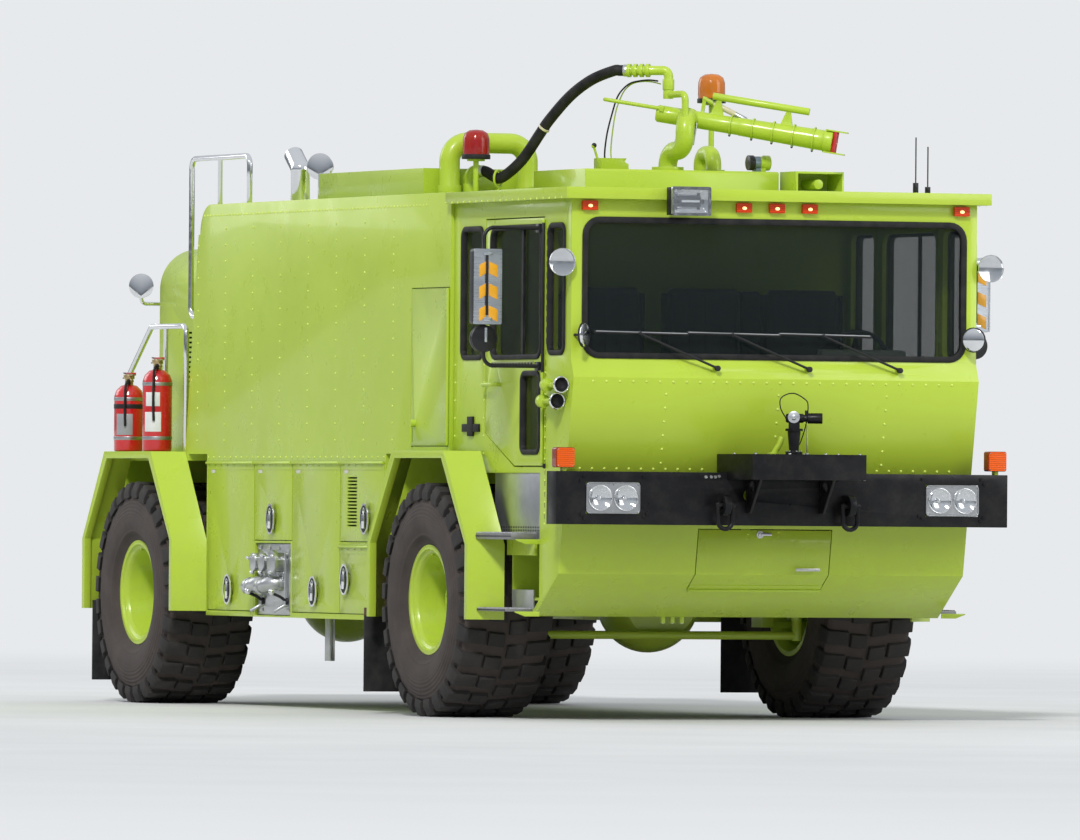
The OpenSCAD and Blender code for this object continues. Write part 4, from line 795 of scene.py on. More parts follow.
def zoned(base, name, zones):
    """Copy of a finish with another colour, roughness and metal inside each box."""
    mat = bpy.data.materials.get(name)
    if mat:
        return mat
    mat = base.copy()
    mat.name = name
    tree = mat.node_tree
    place = coordinates(tree)
    for low, high, colour, rough, metal in zones:
        mask = zone(tree, low, high)
        shade = blend(tree, cloud(tree, place, 9, 6, FINE, 0.3, 0.75), colour, dim(colour, 0.75))
        for label, value in (("Base Color", shade), ("Roughness", rough), ("Metallic", metal)):
            socket = tree.nodes["Principled BSDF"].inputs[label]
            was = socket.links[0].from_socket if socket.links else socket.default_value
            if label == "Base Color" and not socket.links:
                was = tuple(was)
            feed(tree, socket, blend(tree, mask, was, value, socket.type))
    return mat


def finish_of(slot):
    """Material for a CAD node by its slot in the record."""
    p = bpy.context.scene.truck_paint
    makers = {
        "paint": body_paint, "black": bumper_paint, "steel": brushed, "bright": bright_chrome,
        "tyre": tyre_rubber, "rubber": plain_rubber, "hose": plain_rubber, "glass": window_glass,
        "trim": moulded_plastic,
        "red": lambda: plain_paint("Extinguisher red", tuple(p.bottle), 0.22, 0.8),
        "amber": lambda: lens("Amber lens", tuple(p.amber)),
    }
    return makers[slot]()


# Stage

# Camera fitted to the photograph: place in the frame, bearing, dip and roll in degrees
CAMERA_AT = (-29.384, -72.736, 1.21)
CAMERA_TURN = (-21.98, -0.381, 0.483)
BACKDROP = (0.80, 0.82, 0.84, 1)
# Height on the sky's ramp and colour, its ends first. It is darker round the horizon, so that
# bright metal has something to mirror
SKY = ((0, (0.80, 0.80, 0.78)), (1, (1.15, 1.2, 1.28)), (0.47, (0.55, 0.55, 0.53)),
       (0.50, (0.16, 0.17, 0.18)), (0.54, (0.42, 0.46, 0.52)), (0.68, (1.0, 1.05, 1.12)))
# Radius of the floor, and where it starts and ends to fade, in metres
FLOOR_RADIUS, FADE_FROM, FADE_TO = 900, 9, 34
# Name, place and strength of the lamps that aren't the key light
SOFT_LAMPS = (("Fill", (9, -12, 7), 500), ("Rim", (-8, 13, 8), 380))
SOFT_SIZE, SUN_ANGLE = 7, 0.12
AIM = Vector((0, 0, 1.5))


def make_camera():
    turn, dip, roll = (math.radians(a) for a in CAMERA_TURN)
    ahead = Vector((-math.sin(turn) * math.cos(dip), math.cos(turn) * math.cos(dip), -math.sin(dip)))
    right = Vector((math.cos(turn), math.sin(turn), 0))
    up = right.cross(ahead)
    side = right * math.cos(roll) + up * math.sin(roll)
    top = up * math.cos(roll) - right * math.sin(roll)
    data = bpy.data.cameras.new("Camera")
    data.lens = bpy.context.scene.truck_stage.lens
    data.sensor_width = 36
    data.clip_start, data.clip_end = 1, 2000
    cam = linked("Camera", data)
    turned = Matrix((side, top, -ahead)).transposed().to_4x4()
    cam.matrix_world = Matrix.Translation(CAMERA_AT) @ turned
    bpy.context.scene.camera = cam


def make_world():
    world = bpy.data.worlds.new("Studio")
    bpy.context.scene.world = world
    world.use_nodes = True
    tree = world.node_tree
    sky = tree.nodes["Background"]
    height = add(tree, "ShaderNodeSeparateXYZ",
                 {"Vector": add(tree, "ShaderNodeTexCoord", out="Generated")}, "Z")
    ramp = tree.nodes.new("ShaderNodeValToRGB")
    feed(tree, ramp.inputs["Fac"], spread(tree, height, -1, 1))
    stops = ramp.color_ramp.elements
    for k, (at, colour) in enumerate(SKY):
        stop = stops[k] if k < 2 else stops.new(at)
        stop.color = (*colour, 1)
    feed(tree, sky.inputs["Color"], ramp.outputs["Color"])
    sky.inputs["Strength"].default_value = bpy.context.scene.truck_stage.sky
    seen = add(tree, "ShaderNodeBackground", {"Color": BACKDROP, "Strength": 1})
    rays = add(tree, "ShaderNodeLightPath", out="Is Camera Ray")
    mix = add(tree, "ShaderNodeMixShader", {0: rays, 1: sky.outputs[0], 2: seen})
    feed(tree, tree.nodes["World Output"].inputs["Surface"], mix)


def make_floor():
    """Wide floor that fades into the backdrop's colour."""
    bm = bmesh.new()
    bmesh.ops.create_circle(bm, cap_ends=True, segments=96, radius=FLOOR_RADIUS)
    floor = linked("floor", mesh_of(bm, "floor"))

    def fading(tree, shader, place):
        rays = tree.nodes.new("ShaderNodeLightPath").outputs
        seen = rays["Is Camera Ray"]
        for name in ("Is Glossy Ray", "Is Transmission Ray"):
            seen = add(tree, "ShaderNodeMath", {0: seen, 1: rays[name]}, operation="ADD",
                       use_clamp=True)
        far = add(tree, "ShaderNodeVectorMath", {0: place}, "Value", operation="LENGTH")
        fade = spread(tree, far, FADE_FROM, FADE_TO, interpolation_type="SMOOTHSTEP")
        glow = add(tree, "ShaderNodeEmission", {"Color": BACKDROP})
        mix = add(tree, "ShaderNodeMixShader", {
            0: maths(tree, "MULTIPLY", fade, seen), 1: shader.outputs[0], 2: glow})
        feed(tree, tree.nodes["Material Output"].inputs["Surface"], mix)

    floor.data.materials.append(finish(
        "Studio floor", (0.62, 0.62, 0.61), 0.75, extra=fading,
        mottle=((0.60, 0.60, 0.59), (0.66, 0.66, 0.65), 0.6, 6, FINE, 0.3, 0.7)))


def make_lights():
    key = ("Key", (-9, -14, 15), bpy.context.scene.truck_stage.key)
    for name, place, energy in (key, *SOFT_LAMPS):
        data = bpy.data.lights.new(name, "SUN" if name == "Key" else "AREA")
        data.energy = energy
        if name == "Key":
            data.angle = SUN_ANGLE
        else:
            data.size = SOFT_SIZE
        lamp = linked(name, data)
        lamp.location = place
        lamp.rotation_euler = (AIM - Vector(place)).to_track_quat("-Z", "Y").to_euler()


# Wheels

# Radius of the tyre's bead and flange, and how far each lies inside the wall's face
BEAD = ((300, 92), (306, 62), (330, 50), (350, 42))
SHOULDER = ((14, 30), (3, 46), (0, 70))
WALL_FOOT, WALL_STEPS = 350, 45
RIDGE_HEIGHT, RIDGE_PITCH = 4.2, 22
NUTS, NUT_CIRCLE, NUT_FACE = 10, 130, 34
CAP_BOLTS, CAP_CIRCLE, CAP_FACE = 8, 66, 101
# Lock ring and gutter round the rim's mouth: radius, place from the face and thickness
LOCK_RINGS = ((292, -14, 5), (277, -22, 4))


def tyre_profile(width, root):
    """Section of the carcass from the inner bead to the outer one: (radius, x)."""
    half = width / 2
    wall = [(r, half - inset) for r, inset in BEAD]
    for k in range(1, WALL_STEPS):
        t = k / WALL_STEPS
        r = WALL_FOOT + (root - 30 - WALL_FOOT) * t
        bulge = half - 42 + 40 * math.sin(math.pi * min(1, t * 1.02) ** 0.8) ** 0.8
        if 0.06 < t < 0.12 or 0.40 < t < 0.94:
            turn = 2 * math.pi * (r - WALL_FOOT) / RIDGE_PITCH
            bulge += RIDGE_HEIGHT * (0.5 + 0.5 * math.cos(turn))
        wall.append((r, min(bulge, half)))
    wall += [(root - down, half - inset) for down, inset in SHOULDER]
    return [(r, -x) for r, x in wall] + [(r, x) for r, x in wall[::-1]]


def make_tyre(node):
    w = bpy.context.scene.truck_wheels
    low, high = corners(node)
    centre = (low + high) / 2
    root = w.radius - w.lug_height
    half = w.width / 2
    carcass, lug = shapes(2)
    carcass.lathe(tyre_profile(w.width, root), centre, X, steps=120)
    pitch = 2 * math.pi * w.radius / w.lugs
    top = math.sqrt(w.radius ** 2 - (pitch * 0.36) ** 2)
    # Outer and inner lug: section of (x, radius), and its ends as parts of the pitch
    outer = ((128, root - 8), (132, top), (half - 24, top), (half - 3, root - 34),
             (half - 5, root - 74), (half - 30, root - 60))
    inner = ((12, root - 8), (14, top), (112, top), (116, root - 8))
    for side, turn in ((1, 0.0), (-1, math.pi / w.lugs)):
        for section, start, end in ((outer, -0.30, 0.30), (inner, -0.36, 0.22)):
            rings = []
            for edge, way in ((start, 1), (end, -1)):
                rings.append([(side * x, (edge + 0.16 * x / half) * pitch
                               + (4 * way if r >= top - 1 else 0), r) for x, r in section])
            bmesh.ops.rotate(lug.bm, verts=lug.between(*rings), cent=(0, 0, 0),
                             matrix=Matrix.Rotation(turn, 3, "X"))
    bmesh.ops.recalc_face_normals(lug.bm, faces=lug.bm.faces[:])
    sharp = [e for e in lug.bm.edges if e.calc_face_angle(0) > 0.5]
    bmesh.ops.bevel(lug.bm, geom=sharp, offset=3.5, segments=1, affect="EDGES")
    bmesh.ops.scale(lug.bm, vec=(MM, MM, MM), verts=lug.bm.verts[:])
    ring = grown(linked(node + "_lugs", mesh_of(lug.bm, node + "_lugs")), wheel_tree(),
                 {"Count": w.lugs, "Material": tyre_rubber("Tread rubber", False)})
    ring.data.transform(Matrix.Translation(TO_FRAME @ centre))
    soften(ring, 0, 35)
    wall = carcass.object(node + "_carcass", tyre_rubber(), smooth=60)
    for obj in (wall, ring):
        piece(obj, BODY_OF[node], [node])


def make_tyres():
    for node in sorted(n for n in BODY_OF if n.startswith("tyre_")):
        make_tyre(node)


def make_rim_details():
    """Wheel nuts, hub cap bolts, valve and the lock rings."""
    paint = plain_paint("Nut paint", dim(bpy.context.scene.truck_paint.lime, 0.85))
    for node in sorted(n for n in BODY_OF if n.startswith("rim_")):
        low, high = corners(node)
        centre, out, body = (low + high) / 2, side_of(node), BODY_OF[node]
        nuts = [(centre + Vector((out * NUT_FACE, a, b)), (out, 0, 0))
                for a, b in circle(NUT_CIRCLE, sides=NUTS)]
        caps = [(centre + Vector((out * CAP_FACE, a, b)), (out, 0, 0))
                for a, b in circle(CAP_CIRCLE, sides=CAP_BOLTS, start=0.5)]
        heads(node + "_nuts", body, paint, nuts, 15, 24, 0.85, 6)
        heads(node + "_cap_bolts", body, paint, caps, 8, 8, 0.9, 6)
        rings = Shape()
        face = out * (high.x - low.x) / 2
        for r, inset, thick in LOCK_RINGS:
            rings.tube([centre + Vector((face + out * inset, a, b))
                        for a, b in circle(r, sides=72)], thick, sides=8, closed=True)
        valve = centre + Vector((face - out * 40, 0, 268))
        rings.tube([valve - Vector((out * 60, 0, 0)), valve + Vector((out * 24, 0, -8))], 5)
        hand_over((rings, node + "_lock_ring", body_paint(), "paint"), body=body)


# Hoses and cables

HOSE_ROUTE = [(-803.1, 678.8, 3172), (-778, 645, 3171), (-750, 611, 3148), (-722, 577, 3131),
              (-684, 531, 3160), (-633, 466, 3226), (-593, 415, 3301), (-553, 365, 3388),
              (-511, 310, 3475), (-428, 205, 3608), (-344, 86, 3700), (-264, -52, 3750),
              (-232, -76, 3752), (-201.2, -99.1, 3752)]
HOSE_RADIUS = 32
HOSE_BAND = Vector((-538, 346, 3416)), Vector((-530, 335, 3433))
CONSOLE_CABLE = [
    (-185, 235, 3215), (-199, 232, 3269), (-203, 186, 3394), (-190, 136, 3519), (-184, 87, 3596),
    (-172, 37, 3643), (-142, -12, 3681), (-100, -61, 3695), (-62, -111, 3699), (-24, -150, 3693)]
CONSOLE_TUBE = [
    (-150, 235, 3215), (-160, 232, 3289), (-170, 186, 3395), (-172, 136, 3510), (-168, 87, 3582),
    (-155, 37, 3643), (-126, -12, 3680), (-79, -61, 3692), (-40, -111, 3688), (-6, -150, 3676)]
NOZZLE_CABLE = [(30, -2120, 1560), (58, -2112, 1600), (84, -2126, 1700), (85, -2150, 1800),
                (66, -2150, 1838), (-8, -2150, 1872), (-80, -2150, 1846), (-84, -2148, 1790),
                (-52, -2140, 1738), (-34, -2140, 1712)]
# Place along y and size of each extinguisher
BOTTLES = ((4580, 1.0), (5080, 0.82))
BOTTLE_X, BOTTLE_FOOT, BOTTLE_HEIGHT = -1352, 1535.3, 500


def cream_enamel():
    return plain_paint("Cream enamel", (0.66, 0.60, 0.40))


def make_hose():
    """Rubber hose from the tank's elbow up to the swivel over the roof monitor."""
    hose, clamps, band = shapes(3)
    path = smooth_path(HOSE_ROUTE, 8)
    hose.tube(path, HOSE_RADIUS, sides=28)
    for i in (1, len(path) - 5):
        clamps.disc(path[i], path[i + 1] - path[i], HOSE_RADIUS + 3, 26, 28)
    band.disc(HOSE_BAND[0], HOSE_BAND[1] - HOSE_BAND[0], HOSE_RADIUS + 3, 14, 28)
    hand_over((hose, "hose", plain_rubber(), "hose"), replaces=["roof_hose"])
    hand_over((clamps, "hose_clamps", brushed(), "steel", 1.5),
              (band, "hose_band", cream_enamel(), "trim", 2))


def cable(name, points, r, coat, body=CHASSIS):
    """Thin cable through the points in millimetres."""
    path = smooth_path(points, 5)
    shape = Shape()
    shape.tube(path, r, sides=10)
    made = piece(shape.object(name, coat, smooth=70), body)


def make_cables():
    """Control cables of the roof monitor's console and the bumper monitor, and bottle hoses."""
    rubber = plain_rubber()
    lime = plain_paint("Lime cable", tuple(bpy.context.scene.truck_paint.lime))
    cable("console_cable", CONSOLE_CABLE, 5, rubber)
    cable("console_tube", CONSOLE_TUBE, 4, lime)
    cable("nozzle_cable", NOZZLE_CABLE, 3.5, rubber, "nozzle_base")
    for i, (y, size) in enumerate(BOTTLES):
        top = BOTTLE_FOOT + BOTTLE_HEIGHT * size + 16
        route = [(BOTTLE_X + x, y + along, top + down) for x, along, down in (
            (-20, -40, 0), (-36, -66, 2), (-54, -84, -30), (-58, -88, -110),
            (-58, -84, -210 * size), (-54, -82, -330 * size))]
        cable("bottle_hose_%d" % (i + 1), route, 8, rubber)


# Glazing: places taken over from the CAD source

SIDES = ((-1, "right"), (1, "left"))
CAB_X = 1250
SCREEN_Y = -1860
# Rear edge, front edge, foot, top and corner radius of each side window
WINDOWS = {
    "quarter_rear": (-186, -516, 2069, 2815, 50),
    "quarter_front": (-1515, -1762, 2088, 2816, 50),
    "door_window": (-640, -1410, 2067, 2813, 70),
    "low_window": (-1115, -1395, 1525, 1979, 45),
}
DOOR_WINDOWS = ("door_window", "low_window")
SASH_Y = -1090
MIRROR_X, MIRROR_Z, ROUND_MIRROR = 1589, 2463, (1595, 2168)
MIRROR_Y = {"right": -1390, "left": -1055}
# Way, inner and outer end of each chevron's halves, and the height of each row
CHEVRON, CHEVRON_ROWS = ((-1, 6, 46), (1, 12, 66)), (2560, 2435, 2310)


def nose_y(z):
    """The sloping nose's face at a height."""
    return -1904 + (1952 - z) * 0.18345


def on_nose(x, z):
    return (x, nose_y(z), z), NOSE_FACING


def make_seals():
    """Rubber seals round the windows, and the sash of each door's sliding pane."""
    rubber = plain_rubber()
    screen = Shape()
    screen.gasket((0, SCREEN_Y, 2460), X, FRONT, 2338, 768, 88, 34)
    hand_over((screen, "screen_seal", rubber, "rubber", 0, 60))
    for side, name in SIDES:
        fixed, moving = shapes(2)
        for label, (rear, front, foot, top, r) in WINDOWS.items():
            (moving if label in DOOR_WINDOWS else fixed).gasket(
                (side * CAB_X, (rear + front) / 2, (foot + top) / 2), Y, (side, 0, 0),
                rear - front - 6, top - foot - 6, r - 3)
        foot, top = WINDOWS["door_window"][2:4]
        ends = sorted((side * 1226, side * 1240))
        moving.box((ends[0], SASH_Y - 14, foot + 4), (ends[1], SASH_Y + 14, top - 4))
        for z in (2300, 2420):
            moving.disc((side * 1240, SASH_Y, z), (side, 0, 0), 5, 3, 12)
        hand_over((fixed, "window_seals_" + name, rubber, "rubber", 0, 60))
        hand_over((moving, "door_seals_" + name, rubber, "rubber", 0, 60),
                  body=BODY_OF["cab_door_" + name])


def make_mirrors():
    """Chevron plate, back and stem on each door's mirror head."""
    for side, name in SIDES:
        shell, stripes, black, glass = shapes(4)
        y = MIRROR_Y[name]
        x, face = side * MIRROR_X, y - 40
        shell.plate(round_rect(170, 428, 8), [round_rect(156, 414, 4)], 8, (x, face - 3, MIRROR_Z))
        shell.plate(round_rect(158, 416, 4), [], 3, (x, face - 1, MIRROR_Z))
        for low, high in ((2268, 2288), (2640, 2658)):
            shell.box((x - 26, face - 9, low), (x + 26, face - 1, high))
        for row in CHEVRON_ROWS:
            for way, inner, outer in CHEVRON:
                stripes.prism([(inner * way, 46), (outer * way, 24), (outer * way, -46),
                               (inner * way, -22)], (x - 6, face - 1, row), X, Z, (0, -4, 0))
        black.tube([(x - 6, face - 9, z) for z in (2300, 2640)], 7)
        glass.plate(round_rect(154, 412, 8), [], 2, (x, y + 21, MIRROR_Z))
        low_x, z = side * ROUND_MIRROR[0], ROUND_MIRROR[1]
        glass.disc((low_x, y + 25, z), Y, 70, 1.5, 40)
        black.lathe([(0, -15), (40, -14), (70, -8), (77, 0), (79, 8), (77, 14)], (low_x, y, z), Y)
        shell.box((x - 8, y - 24, z - 20), (x + 8, y - 14, z + 62))
        hand_over((shell, "mirror_plate_" + name, brushed("Mirror shell", (0.62, 0.66, 0.70), 0.28),
                   "bright", 1.5),
                  (stripes, "mirror_chevrons_" + name,
                   plain_paint("Chevron amber", (0.90, 0.42, 0.01), 0.35), "amber", 0.8),
                  (black, "mirror_stem_" + name, moulded_plastic(), "black", 1),
                  (glass, "mirror_glass_" + name, bright_chrome(), "bright"),
                  body=BODY_OF["cab_door_" + name])


# Lamps and the fittings on the cab's front

LAMP_X, LAMP_Y, LAMP_Z, LAMP_GAP = 1045, -1992, 1270, 78
LAMP_RADIUS, LAMP_FRAME = 70, (322, 170, 18)
LAMP_SCREWS = [(x, way * (74 if x else 76)) for way in (1, -1) for x in (-150, 0, 150)]
SIGNAL_AT = (1331, -1999, 1497)
MARKERS = (-1147, -203, 0, 203, 1147)
MARKER_Y, MARKER_Z = -1873, 2923
# Place of each beacon's dome, foot of its post, colour's name and colour
BEACONS = ((Vector((-880, 545, 3240)), 3030.3, "Red dome", (0.42, 0.002, 0.003)),
           (Vector((489, 270, 3585)), 3170.3, "Amber dome", (0.74, 0.20, 0.0)))
FLOOD_LOW, FLOOD_HIGH = (-706, -2022, 2870), (-466, -1932, 3035)
FLOOD_PANE = (212, 137, 8)
SPOT_AT, SPOT_POST_Y = (1322, -1900, 2600), -1844
SMALL_MIRROR, SMALL_MIRROR_FACING = (1205, -1930, 2190), (-0.669, -0.743, 0)
WIPERS = (-375, 191, 752)
HORNS = ((-1849, 1908), (-1789, 1816))
HORN_X = -1300
HORN_BELL = [(0, 34), (20, 30), (34, 14), (40, 2), (46, 0), (48, 5), (46, 12), (26, 70), (16, 150),
             (16, 200), (38, 205), (38, 245), (0, 245)]
CHIN_NOZZLES = (-455, -398, -340)


def make_headlamps():
    """Twin sealed beams behind a punched bezel with screws, on each side of the bumper."""
    bezel, chrome, glass, dark = shapes(4)
    screws = []
    for side in (-1, 1):
        centre = Vector((side * LAMP_X, LAMP_Y, LAMP_Z))
        holes = [circle(LAMP_RADIUS, (x, 0), 48) for x in (-LAMP_GAP, LAMP_GAP)]
        bezel.plate(round_rect(330, 178, 22, 8), holes, 32, centre)
        bezel.sweep(loop_on(centre + Vector((0, -16, 0)), X, Z, *LAMP_FRAME),
                    [(-4, 0), (4, 0), (2, 4), (-2, 4)], closed=True, up=FRONT)
        dark.plate(round_rect(*LAMP_FRAME, 8), [], 3, centre + Vector((0, 14, 0)))
        for x in (-LAMP_GAP, LAMP_GAP):
            at = centre + Vector((x, -12, 0))
            chrome.lathe([(0, 22), (27.9, 18.92), (49.6, 9.9), (62, 0), (67, -3),
                          (LAMP_RADIUS, 2)], at, Y)
            chrome.ball(at + Vector((0, 12, 0)), 13, (1, 0.6, 1))
            chrome.tube([at + Vector((a, -6, b)) for a, b in circle(LAMP_RADIUS, sides=48)], 4,
                        sides=8, closed=True)
            glass.lathe([(64, -3), (58, -8), (40, -13), (0, -16)], at, Y)
        for x, z in LAMP_SCREWS:
            screws.append((centre + Vector((x, -16, z)), FRONT))
    hand_over((bezel, "headlamp_bezels", brushed("Lamp bezel", (0.42, 0.43, 0.44), 0.38), "bright",
               1.2),
              (dark, "headlamp_backs", moulded_plastic(), "black"),
              (chrome, "headlamp_bowls", bright_chrome(), "bright", 0, 60),
              (glass, "headlamp_glass", clear_lens(), "glass", 0, 60), replaces=["headlamps"])
    heads("headlamp_screws", CHASSIS, bright_chrome(), screws, 6, 3, 0.7, 12)


def make_signals():
    """Turn signals with their screws, and the glowing markers under the roof's edge."""
    red, rim, foot, cups, bulbs = shapes(5)
    screws = []
    for side in (-1, 1):
        at = Vector((side * SIGNAL_AT[0], *SIGNAL_AT[1:]))
        red.plate(round_rect(106, 106, 12), [], 10, at + Vector((0, 5, 0)))
        for z in range(-42, 43, 14):
            red.block(at, (-48, -0.6, z - 1.5), (48, 1, z + 1.5))
        rim.plate(round_rect(114, 114, 12), [], 60, at + Vector((0, 40, 0)))
        foot.block(at, (-12, 20, -77), (12, 60, -56))
        screws += [(at + Vector((x, 0, z)), FRONT) for x in (-45, 45) for z in (-45, 45)]
    for x in MARKERS:
        cups.plate(round_rect(92, 54, 6), [], 24, (x, MARKER_Y, MARKER_Z))
        bulbs.ball((x, MARKER_Y - 12, MARKER_Z - 2), 9, (1.5, 0.4, 1))
    hand_over((red, "signal_lenses", lens("Signal lens", (0.78, 0.105, 0.002), 0.1, 0.08), "amber",
               1),
              (rim, "signal_cases", plain_paint("Signal case", (0.25, 0.02, 0.006)), "amber", 2),
              (foot, "signal_feet", body_paint(), "paint", 1.5),
              (cups, "marker_lenses", lens("Marker lens", (0.62, 0.045, 0.003), 0.1, 0.12), "amber",
               3),
              (bulbs, "marker_bulbs", lens("Lit bulb", (1.0, 0.62, 0.25), 0.2, 2.0), "amber"),
              replaces=["signal_lamps"])
    heads("signal_screws", CHASSIS, bright_chrome(), screws, 4, 2, 0.7, 10)


def make_beacons():
    """Flashing beacons: post, dark base, reflector and see-through dome."""
    post, base, mirror = shapes(3)
    for at, foot, name, colour in BEACONS:
        post.tube([(at.x, at.y, foot), (at.x, at.y, at.z - 2)], 16, sides=20)
        post.disc((at.x, at.y, foot), Z, 40, 8, 28)
        post.disc((at.x, at.y, at.z - 12), Z, 52, 12, 32)
        base.lathe([(0, 0), (84, 0), (84, 24), (80, 27), (60, 30), (0, 30)], at, Z)
        mirror.lathe([(0, 0), (16, 6), (40, 34), (44, 40)], at + Vector((0, 20, 74)), (0, -1, 0.1))
        mirror.disc(at + Vector((0, 0, 30)), Z, 12, 44, 20)
        mirror.ball(at + Vector((0, 4, 80)), 13)
        dome = Shape()
        dome.lathe([(78, 26), (79.5, 40), (79, 90), (78, 120), (68, 150), (40, 168), (0, 172)], at, Z)
        short = name.split()[0].lower()
        hand_over((dome, "beacon_" + short, dome_plastic(name, colour), short, 0, 60),
                  replaces=["roof_beacons"])
    hand_over((post, "beacon_posts", body_paint(), "paint", 1),
              (base, "beacon_bases", moulded_plastic(), "black", 1),
              (mirror, "beacon_reflectors", bright_chrome(), "bright", 0, 60),
              replaces=["roof_beacons"])


def flood_lamp(chrome, black, tubes, glass):
    """Case, trough, tube with its holders and pane of the flood lamp."""
    (x0, y0, z0), (x1, y1, z1) = FLOOD_LOW, FLOOD_HIGH
    mid = Vector(((x0 + x1) / 2, y0 + 6, (z0 + z1) / 2))
    chrome.plate(round_rect(x1 - x0, z1 - z0, 12), [round_rect(*FLOOD_PANE)], 12, mid)
    black.box((x0 + 4, y0 + 40, z0 + 4), (x1 - 4, y1, z1 - 4))
    bowl = [chrome.bm.verts.new(mid + Vector((a * w, deep, b * h)))
            for w, h, deep in ((70, 30, 36), (104, 66, 2))
            for a, b in ((-1, -1), (1, -1), (1, 1), (-1, 1))]
    chrome.bm.faces.new(bowl[:4])
    for k in range(4):
        chrome.bm.faces.new((bowl[k], bowl[(k + 1) % 4], bowl[4 + (k + 1) % 4], bowl[4 + k]))
    tubes.tube([mid + Vector((-58, 16, 0)), mid + Vector((58, 16, 0))], 7, sides=12)
    for x in (-64, 64):
        black.block(mid, (x - 8, 8, -12), (x + 8, 30, 12))
    glass.plate(round_rect(*FLOOD_PANE), [], 3, mid)


def spot_lamp(side, chrome, black, glass):
    """Spot lamp on its post, and the small round mirror below it."""
    x, y, z = SPOT_AT
    at = Vector((side * x, y, z))
    chrome.lathe([(0, 12), (76, 12), (79, 6), (79, -4), (76, 0), (63, 50), (34, 84), (0, 90)], at, Y)
    glass.lathe([(74, -2), (60, -8), (30, -12), (0, -13)], at, Y)
    black.tube([(side * CAB_X, SPOT_POST_Y, z), (side * x, SPOT_POST_Y, z)], 14, sides=16)
    black.disc(at + Vector((0, 84, 0)), Y, 18, 14, 20)
    x, y, z = SMALL_MIRROR
    facing = (side * SMALL_MIRROR_FACING[0], *SMALL_MIRROR_FACING[1:])
    black.disc((side * x, y, z), facing, 72, 10, 40)
    black.tube([(side * (x + 27), y + 67, z), (side * (x + 3), y - 2, z)], 7)
    chrome.disc((side * (x - 6.7), y - 7.4, z), facing, 66, 3, 40, 60)


def wiper(x, black, pale):
    """Spindle, arm, joint and blade of a wiper, with the pale strip on the blade."""
    black.disc((x, -1928, 2010), Y, 16, 22, 20)
    black.tube([(x, -1921, 2010), (x - 30, -1920, 2022), (x - 480, -1898, 2206)], 7, 12)
    black.tube([(x - 470, -1892, 2206), (x - 460, -1894, 2204)], 12)
    black.tube([(x - 750, -1892, 2208), (x - 170, -1892, 2200)], 9)
    pale.tube([(x - 740, -1899, 2213), (x - 180, -1899, 2205)], 3.5)


def horn(at, lime, black, chrome):
    """Air horn with a black cap across its throat as painted shade of the hollow, a chrome mouth, its bracket and
    the end of its pipe.
    """
    lime.lathe(HORN_BELL, at, Y)
    # Black cap across the closed bell: painted shade of the hollow throat.
    black.lathe([(0, 32), (20, 28), (34, 12), (38, 3)], at - Vector(Y), Y)
    chrome.lathe([(39, 3), (43, -2), (50, 3), (48, 14), (35, 50)], at, Y)
    lime.block(at, (30, 150, -16), (49.7, 190, 16))
    black.disc(at + Vector((0, 245, 0)), Y, 8, 8)


def make_front_fittings():
    """Flood lamp, spot lamps, small mirrors, wipers, horns and chin nozzles on the cab's front."""
    lime, black, chrome, tubes, glass, pale = shapes(6)
    flood_lamp(chrome, black, tubes, glass)
    for side in (-1, 1):
        spot_lamp(side, chrome, black, glass)
    for x in WIPERS:
        wiper(x, black, pale)
    for y, z in HORNS:
        horn(Vector((HORN_X, y, z)), lime, black, chrome)
    for x in CHIN_NOZZLES:
        lime.disc((x, -1332, 559), Z, 14, 43, 6)
        chrome.disc((x, -1332, 557), Z, 8, 6, 16)
    for shape, name, coat, slot in (
            (lime, "horns_and_nozzles", body_paint(), "paint"),
            (black, "wipers_and_mounts", moulded_plastic(), "black"),
            (chrome, "lamp_shells", bright_chrome(), "bright"),
            (tubes, "flood_tubes", lens("Flood element", (0.75, 0.78, 0.82), 0.3, 0.15), "glass"),
            (glass, "lamp_glasses", clear_lens(), "glass"),
            (pale, "wiper_blades", brushed("Wiper strip", (0.45, 0.46, 0.47), 0.4), "steel")):
        hand_over((shape, name, coat, slot, 0.8, 50), replaces=["cab_fittings"])


# Rivets and bolts

NOSE_FACING = (0, -1, -0.183)
TANK_X, ROOF_X = 1256, 1310
# Upright rows on the tank: the first, the distance between them and their number
TANK_ROW, TANK_ROW_PITCH, TANK_ROWS = 850, 464, 10
TANK_FOOT, TANK_ROW_TOP, TANK_EDGE, ROOF_EDGE = 1500, 2880, 2962, 2965
NOSE_TOP, NOSE_FOOT, NOSE_COLUMNS = 1930, 1436, (-677, 15, 684)
BUMPER_Y = -2004
# Places of the bumper's bolts as x and z, the dark ones on both sides
BUMPER_BOLTS = ((-1222, 1393), (-1242, 1367), (-858, 1392), (-1238, 1176), (-1220, 1156),
                (-838, 1181), (-860, 1170))
BRIGHT_BOLTS = ((-479, 1393), (-446, 1394), (-421, 1394), (-397, 1398), (498, 1388))


